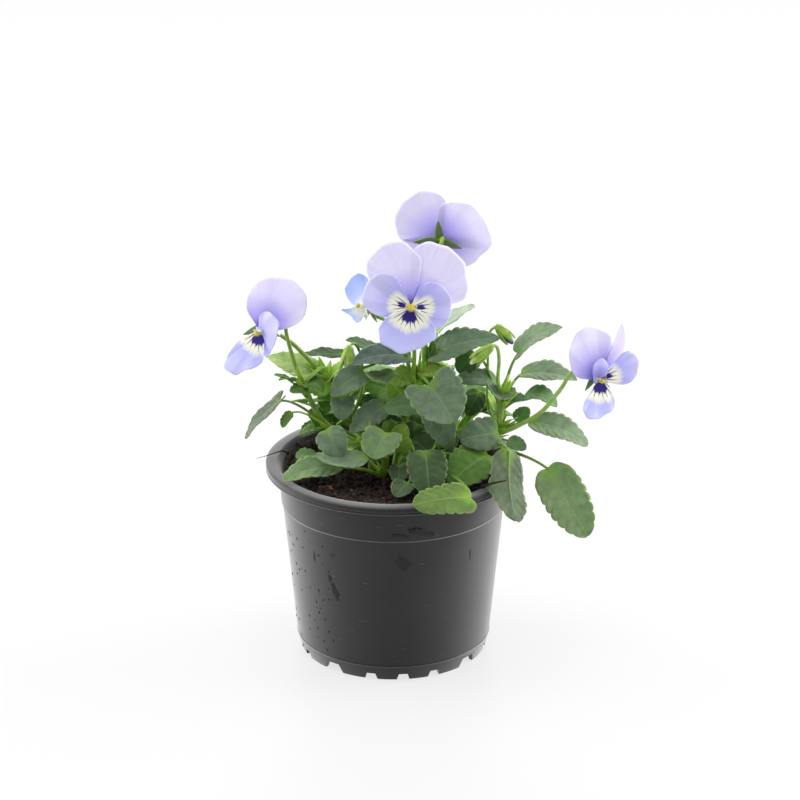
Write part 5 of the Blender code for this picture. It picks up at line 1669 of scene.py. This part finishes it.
def grow_leaf(leaf, base, tip, seed, path, blades, chains, young=False):
    """A leaf with its stalk and the stipules at the stalk's foot."""
    place, teeth, along = blade_rule(leaf, base, tip, seed)
    tint = srgb(LEAF_TONES[leaf.tone])

    def vein_layout(s, t):
        return abs(t), s * teeth - VEIN_CLIMB * abs(t) + VEIN_COUNT_START

    rows, columns = YOUNG_GRID if young else BLADE_GRID
    blades.add(teeth * rows, columns, place, (plain_layout, vein_layout), tint)
    start = along_path(path, leaf.at)
    heading = heading_at(path, leaf.at)
    foot = place(0.02, 0.03)
    points = leaf_stalk(start, heading, foot, along)
    thin = LEAF_STALK_RADIUS * min(0.95, 0.45 + leaf.width / 26)
    radii = [thin * (1.1 - 0.07 * number) for number in range(len(points))]
    for share in (0.10, 0.25, 0.45, 0.7):
        under = (place(share, 0.3) - place(share, -0.3)).cross(along).normalized() * 0.25 * MM
        points.append(place(share, 0) + under)
        radii.append(thin * 0.42 * (1 - share))
    # Stalks of young and fresh leaves are paler; on lit leaves the same paler tint is painted light.
    chains.add(points, radii, YOUNG_STEM_TINT if leaf.tone in ("lit", "young", "fresh") else STEM_TINT)
    outward = (foot - start).normalized()
    for turn, length, width in STIPULES[:0 if young or leaf.bare else None]:
        side = Matrix.Rotation(turn, 3, heading) @ outward
        lean = (heading * 0.7 + side * 0.5).normalized()
        rule = stipule_rule(start, lean, side, length * MM, width * MM)
        blades.add(10, 4, rule, PLAIN, STIPULE_TINT)


def grow_young_leaf(draw, tones, seed, path, blades, chains):
    """A small young leaf close to the stem, lit through by the light behind, with a tone of painted light.
    """
    share = draw.uniform(0.2, 1.0)
    start = along_path(path, share)
    heading = heading_at(path, share)
    outward = Matrix.Rotation(draw.uniform(0, math.tau), 3, heading) @ heading.orthogonal().normalized()
    climb = (outward + heading * draw.uniform(0.4, 1.6)).normalized()
    base = start + climb * draw.uniform(2.5, 6) * MM
    tip = base + (climb + outward * draw.uniform(0, 0.8)).normalized() * draw.uniform(6, 10) * MM
    face = heading - outward * draw.uniform(0, 0.6)
    leaf = Leaf(share, None, None, draw.uniform(5, 8), face, draw.choice(tones))
    grow_leaf(leaf, base, tip, seed, path, blades, chains, young=True)


def make_shoot(name, shoot, seed):
    blades = Blades("place", "veins")
    chains = Chains()
    path = stem_path(shoot)
    first, last = (radius * MM for radius in shoot.radius)
    radii = [first + (last - first) * number / (len(path) - 1) for number in range(len(path))]
    chains.add(path, radii, srgb(shoot.tint))
    for leaf_seed, leaf in enumerate(shoot.leaves, seed * LEAF_SEEDS):
        grow_leaf(leaf, spot(*leaf.base), spot(*leaf.tip), leaf_seed, path, blades, chains)
    draw = random.Random(seed)
    for number in range(shoot.young_leaves):
        leaf_seed = seed * LEAF_SEEDS + YOUNG_SEEDS + number
        grow_young_leaf(draw, shoot.young_tones, leaf_seed, path, blades, chains)
    ends = [None] * len(shoot.stalks)
    for number, key in enumerate(key for key, owner in BLOOM_SHOOT.items() if owner == name):
        ends[number] = add_calyx(BLOOMS[key], blades, chains)
    for stalk, end in zip(shoot.stalks, ends):
        points = [spot(*place) for place in stalk.path] + ([end] if end else [])
        thick = stalk.radius * FLOWER_STALK_SHARE * MM
        radii = [thick * (1.15 - 0.30 * number / (len(points) - 1)) for number in range(len(points))]
        chains.add(points, radii, srgb(shoot.tint))
    for bud in BUDS.values():
        if bud.shoot == name:
            add_bud(bud, blades, chains)
    stems = chains.piece(name + "_stems", 0.8 * MM, 5, 0.84, STEM)
    leaves = blades.piece(name + "_leaves", [LEAF_UPPER, LEAF_UNDER], BLADE_THICKNESS, 1)
    hairs = new_piece(name + "_hairs", grow(stems, HAIRS, {"Seed": seed, "Finish": HAIR}))
    return stems, leaves, hairs


for seed, (name, shoot) in enumerate(SHOOTS.items(), 1):
    for piece in make_shoot(name, shoot, seed):
        hand_over(piece, "violet_leaf", name)

# %% [markdown]
# ## A bloom
# Each petal is a fan of rays from the bloom's centre to a smooth rim through the outline's points. The
# rim ruffles a little, and fine pleats run along the rays. The hub that the petals grow from carries the
# throat with its beard, and the horn that gives the plant its name runs back from the lower petal.

# %% The rule of a petal
PETAL_START = 0.1
PETAL_THICKNESS = 0.28 * MM
PETAL_ROWS = 20
COLUMNS_PER_SPOT = 6
BEARD_HAIRS = 70


def smooth_rim(rim, t):
    """A point on the Catmull-Rom curve through the rim, for t from -1 to 1."""
    number = (t + 1) / 2 * (len(rim) - 1)
    first = min(int(number), len(rim) - 2)
    u = number - first
    a = rim[max(first - 1, 0)]
    b = rim[first]
    c = rim[first + 1]
    d = rim[min(first + 2, len(rim) - 1)]
    square = (2 * a - 5 * b + 4 * c - d) * u ** 2
    cube = (3 * b - a - 3 * c + d) * u ** 3
    return 0.5 * (2 * b + (c - a) * u + square + cube)


def petal_rule(petal, centre, right, top, seed):
    normal = Vector(petal.face).normalized()
    rim = [on_plane(across, down, centre, normal) - centre for across, down in petal.outline]
    size = max(edge.length for edge in rim)
    turns = sum(a.cross(b).dot(normal) for a, b in zip(rim, rim[1:]))
    if turns < 0:
        rim.reverse()
    middle = smooth_rim(rim, 0).normalized()
    if petal.part == "side":
        middle = right * math.copysign(1, middle.dot(right)) + top * 0.2
    elif petal.part == "lower":
        middle = middle * 0.6 - top
    middle = (middle - normal * middle.dot(normal)).normalized()
    sideways = normal.cross(middle)
    draw = random.Random(seed)
    phase = draw.uniform(0, math.tau)
    ruffles = draw.choice((3, 4, 5))

    def place(s, t):
        scallop = (0.016 if petal.part == "lower" else 0.008) * math.sin(23 * t + 2 * phase)
        notch = 1 + 0.012 * math.sin(11 * t + phase) + scallop
        flat = smooth_rim(rim, t) * (PETAL_START + (notch - PETAL_START) * s)
        reach = flat.length / size
        lift = petal.layer + petal.lift * reach * reach + petal.cup * 4 * reach * (reach - 1)
        ruffle = 0.30 * s ** 3 * math.sin(math.pi * ruffles * t + phase)
        pleat = 0.05 * s * math.sin(34 * t + 3 * phase)
        return centre + flat + normal * ((lift + ruffle + pleat) * MM)

    def ray_layout(s, t):
        edge = smooth_rim(rim, t)
        flat = edge * (PETAL_START + (1 - PETAL_START) * s)
        angle = math.atan2(edge.dot(sideways), edge.dot(middle))
        return 0.5 + angle / math.tau, flat.length / RAY_REACH

    return place, ray_layout


def bead(bm, centre, axis, radius, half_length, segments=20, lobes=0):
    """An egg-shaped bead along an axis, with shallow lobes round it if wanted."""
    made = bmesh.ops.create_uvsphere(bm, u_segments=segments, v_segments=12, radius=1)["verts"]
    for vertex in made:
        swell = 1 + 0.16 * math.cos(lobes * math.atan2(vertex.co.y, vertex.co.x)) if lobes else 1
        x, y, z = vertex.co
        vertex.co = Vector((x * radius * swell, y * radius * swell, z * half_length))
    align(bm, made, axis, centre)


def bead_piece(name, material, beads):
    bm = bmesh.new()
    for arguments in beads:
        bead(bm, *arguments)
    return smooth_piece(name, bm, material)


def make_bloom(name, bloom, seed):
    centre, facing, right, top = bloom_frame(bloom)
    blades = Blades("rays")
    for number, petal in enumerate(bloom.petals):
        rule, layout = petal_rule(petal, centre, right, top, seed * 10 + number)
        columns = COLUMNS_PER_SPOT * (len(petal.outline) - 1)
        blades.add(PETAL_ROWS, columns, rule, (layout,), WHITE, list(PETALS).index(petal.part))
    petals = blades.piece(name + "_fan", list(PETALS.values()), PETAL_THICKNESS, len(PETALS) - 1)

    chains = Chains()
    root = centre - top * 1.2 * MM
    tip = root - facing * (bloom.spur * MM + HUB_HALF) - top * 1.5 * MM
    chains.add([root, root.lerp(tip, 0.5) - top * 0.2 * MM, root.lerp(tip, 0.85), tip],
               [1.3 * MM, 1.1 * MM, 0.95 * MM, 0.45 * MM], WHITE)
    horn = chains.piece(name + "_spur", 0.5 * MM, 8, 0.95,
                        PETALS["opening" if bloom.petals[0].part == "opening" else "reverse"])

    hub = bead_piece(name + "_throat", THROAT, [(centre, facing, 1.3 * bloom.eye * MM, 1.9 * MM)])
    beard = Chains()
    draw = random.Random(seed)
    for _ in range(BEARD_HAIRS):
        side = right * draw.choice((-1, 1))
        foot = centre + side * draw.uniform(1.3, 2.4) * MM + facing * 1.3 * MM
        foot += top * draw.uniform(-0.6, 1.2) * MM
        lean = (facing - side * draw.uniform(-0.3, 0.9) + top * draw.uniform(-0.4, 0.5)).normalized()
        length = draw.uniform(0.7, 1.4) * MM
        hair = [foot, foot + lean * length / 2, foot + lean * length]
        beard.add(hair, [0.10 * MM, 0.09 * MM, 0.05 * MM], WHITE)
    whiskers = beard.piece(name + "_beard", 0.5 * MM, 3, 0.8, THROAT)
    front = centre + facing * (HUB_HALF + CLEARANCE + 1.2 * MM)
    eye = bead_piece(name + "_pistil", POLLEN, [
        (front, facing, 1.5 * bloom.eye * MM, 0.85 * MM, 30, 5),
        (front + facing * 0.6 * MM - top * 0.15 * MM, facing, 0.65 * bloom.eye * MM, 0.5 * MM),
    ])
    return (petals, horn, hub, whiskers), eye


for seed, (name, bloom) in enumerate(BLOOMS.items(), 1):
    lilac, eye = make_bloom(name, bloom, seed)
    for piece in lilac:
        hand_over(piece, "petal_lilac", name + "_petals")
    hand_over(eye, "eye_yellow", name + "_eye")

# %% [markdown]
# ## Closed petals of the buds
# In a bud the petals are still rolled round each other, which shows as a spiral. A bead with a twisted
# ridge stands for the roll, and its tip looks out between the sepals.

# %% The rolled petals
BUD_START = 1.35 * MM + CLEARANCE
ROLL_TWIST = 2.2
ROLL_RIDGE = 0.14
ROLL_SHARE = 0.31


def make_bud(name, bud, material):
    top, axis, length = bud_frame(bud)
    half = (length - BUD_START) / 2
    bm = bmesh.new()
    made = bmesh.ops.create_uvsphere(bm, u_segments=32, v_segments=20, radius=1)["verts"]
    for vertex in made:
        x, y, z = vertex.co
        fold = 1 + ROLL_RIDGE * abs(math.cos(1.5 * (math.atan2(y, x) + ROLL_TWIST * z)))
        radius = bud.width * MM * ROLL_SHARE * fold + 0.45 * bud.flare * MM * max(0, z)
        vertex.co = Vector((x * radius, y * radius, z * half))
    align(bm, made, axis, top + axis * (BUD_START + half))
    return smooth_piece(name + "_roll", bm, material)


for name, bud in BUDS.items():
    roll = make_bud(name, bud, BUD_PETAL if name == "bud_right" else BUD_CREAM)
    hand_over(roll, "petal_lilac", name + "_petals")

# %% [markdown]
# ## The stage
# The plant stands on a plain white floor in soft light from all round, as in a light tent. A pale sky
# gives the fill, a large lamp overhead models the forms, one behind shines through leaves and petals, and
# one at each side draws the soft sheen on the pot. The floor glows a little by itself, so that hardly any
# shadow lies on it. The plain Standard view keeps the colours as they are.

# %% Floor, light and camera
def make_floor():
    made, tree, shader, _ = new_material("white studio floor")
    feed(tree, shader, {
        "Base Color": srgb("6C6C6C"), "Roughness": 0.4, "Specular IOR Level": 0.1,
        "Emission Color": WHITE, "Emission Strength": 0.72})
    bm = bmesh.new()
    bmesh.ops.create_grid(bm, x_segments=1, y_segments=1, size=4)
    floor = new_piece("floor", mesh_of(bm, "floor"), [made])


def lamp(name, place, aim, size, power):
    data = bpy.data.lights.new(name, "AREA")
    data.shape = "RECTANGLE"
    data.size, data.size_y = size
    data.energy = power
    made = bpy.data.objects.new(name, data)
    made.location = place
    made.rotation_euler = (Vector(aim) - Vector(place)).to_track_quat("-Z", "Y").to_euler()
    bpy.context.scene.collection.objects.link(made)


def light_tent():
    """A pale sky that is brighter behind the plant than before it."""
    sky = bpy.data.worlds.new("light tent")
    sky.use_nodes = True
    tree = sky.node_tree
    heading = add(tree, "ShaderNodeSeparateXYZ", {0: add(tree, "ShaderNodeTexCoord").outputs["Generated"]})
    strength = add(tree, "ShaderNodeMapRange", {0: heading.outputs[1], 1: -0.7, 2: 0.9, 3: 0.44, 4: 0.88})
    feed(tree, tree.nodes["Background"], {"Color": WHITE, "Strength": strength})
    return sky


make_floor()
bpy.context.scene.world = light_tent()
lamp("overhead", (-0.2, 0.0, 1.3), (0, 0, 0.1), (1.2, 1.0), 9.5)
lamp("behind", (0, 1.3, 0.7), (0, 0, 0.1), (2.4, 1.1), 5)
lamp("side_left", (-1.1, 0.25, 0.4), (0, 0, 0.08), (0.9, 0.8), 11)
lamp("side_right", (1.1, 0.25, 0.4), (0, 0, 0.08), (0.9, 0.8), 18)

SENSOR_WIDTH = 36
view = bpy.data.cameras.new("view")
view.sensor_width = SENSOR_WIDTH
view.lens = PICTURE_FOCUS / PICTURE_SIZE * SENSOR_WIDTH
view.clip_end = 20
camera = bpy.data.objects.new("camera", view)
camera.location = EYE
camera.rotation_euler = (-VIEW_BACK).to_track_quat("-Z", "Y").to_euler()
bpy.context.scene.collection.objects.link(camera)
bpy.context.scene.camera = camera
bpy.context.scene.view_settings.view_transform = "Standard"
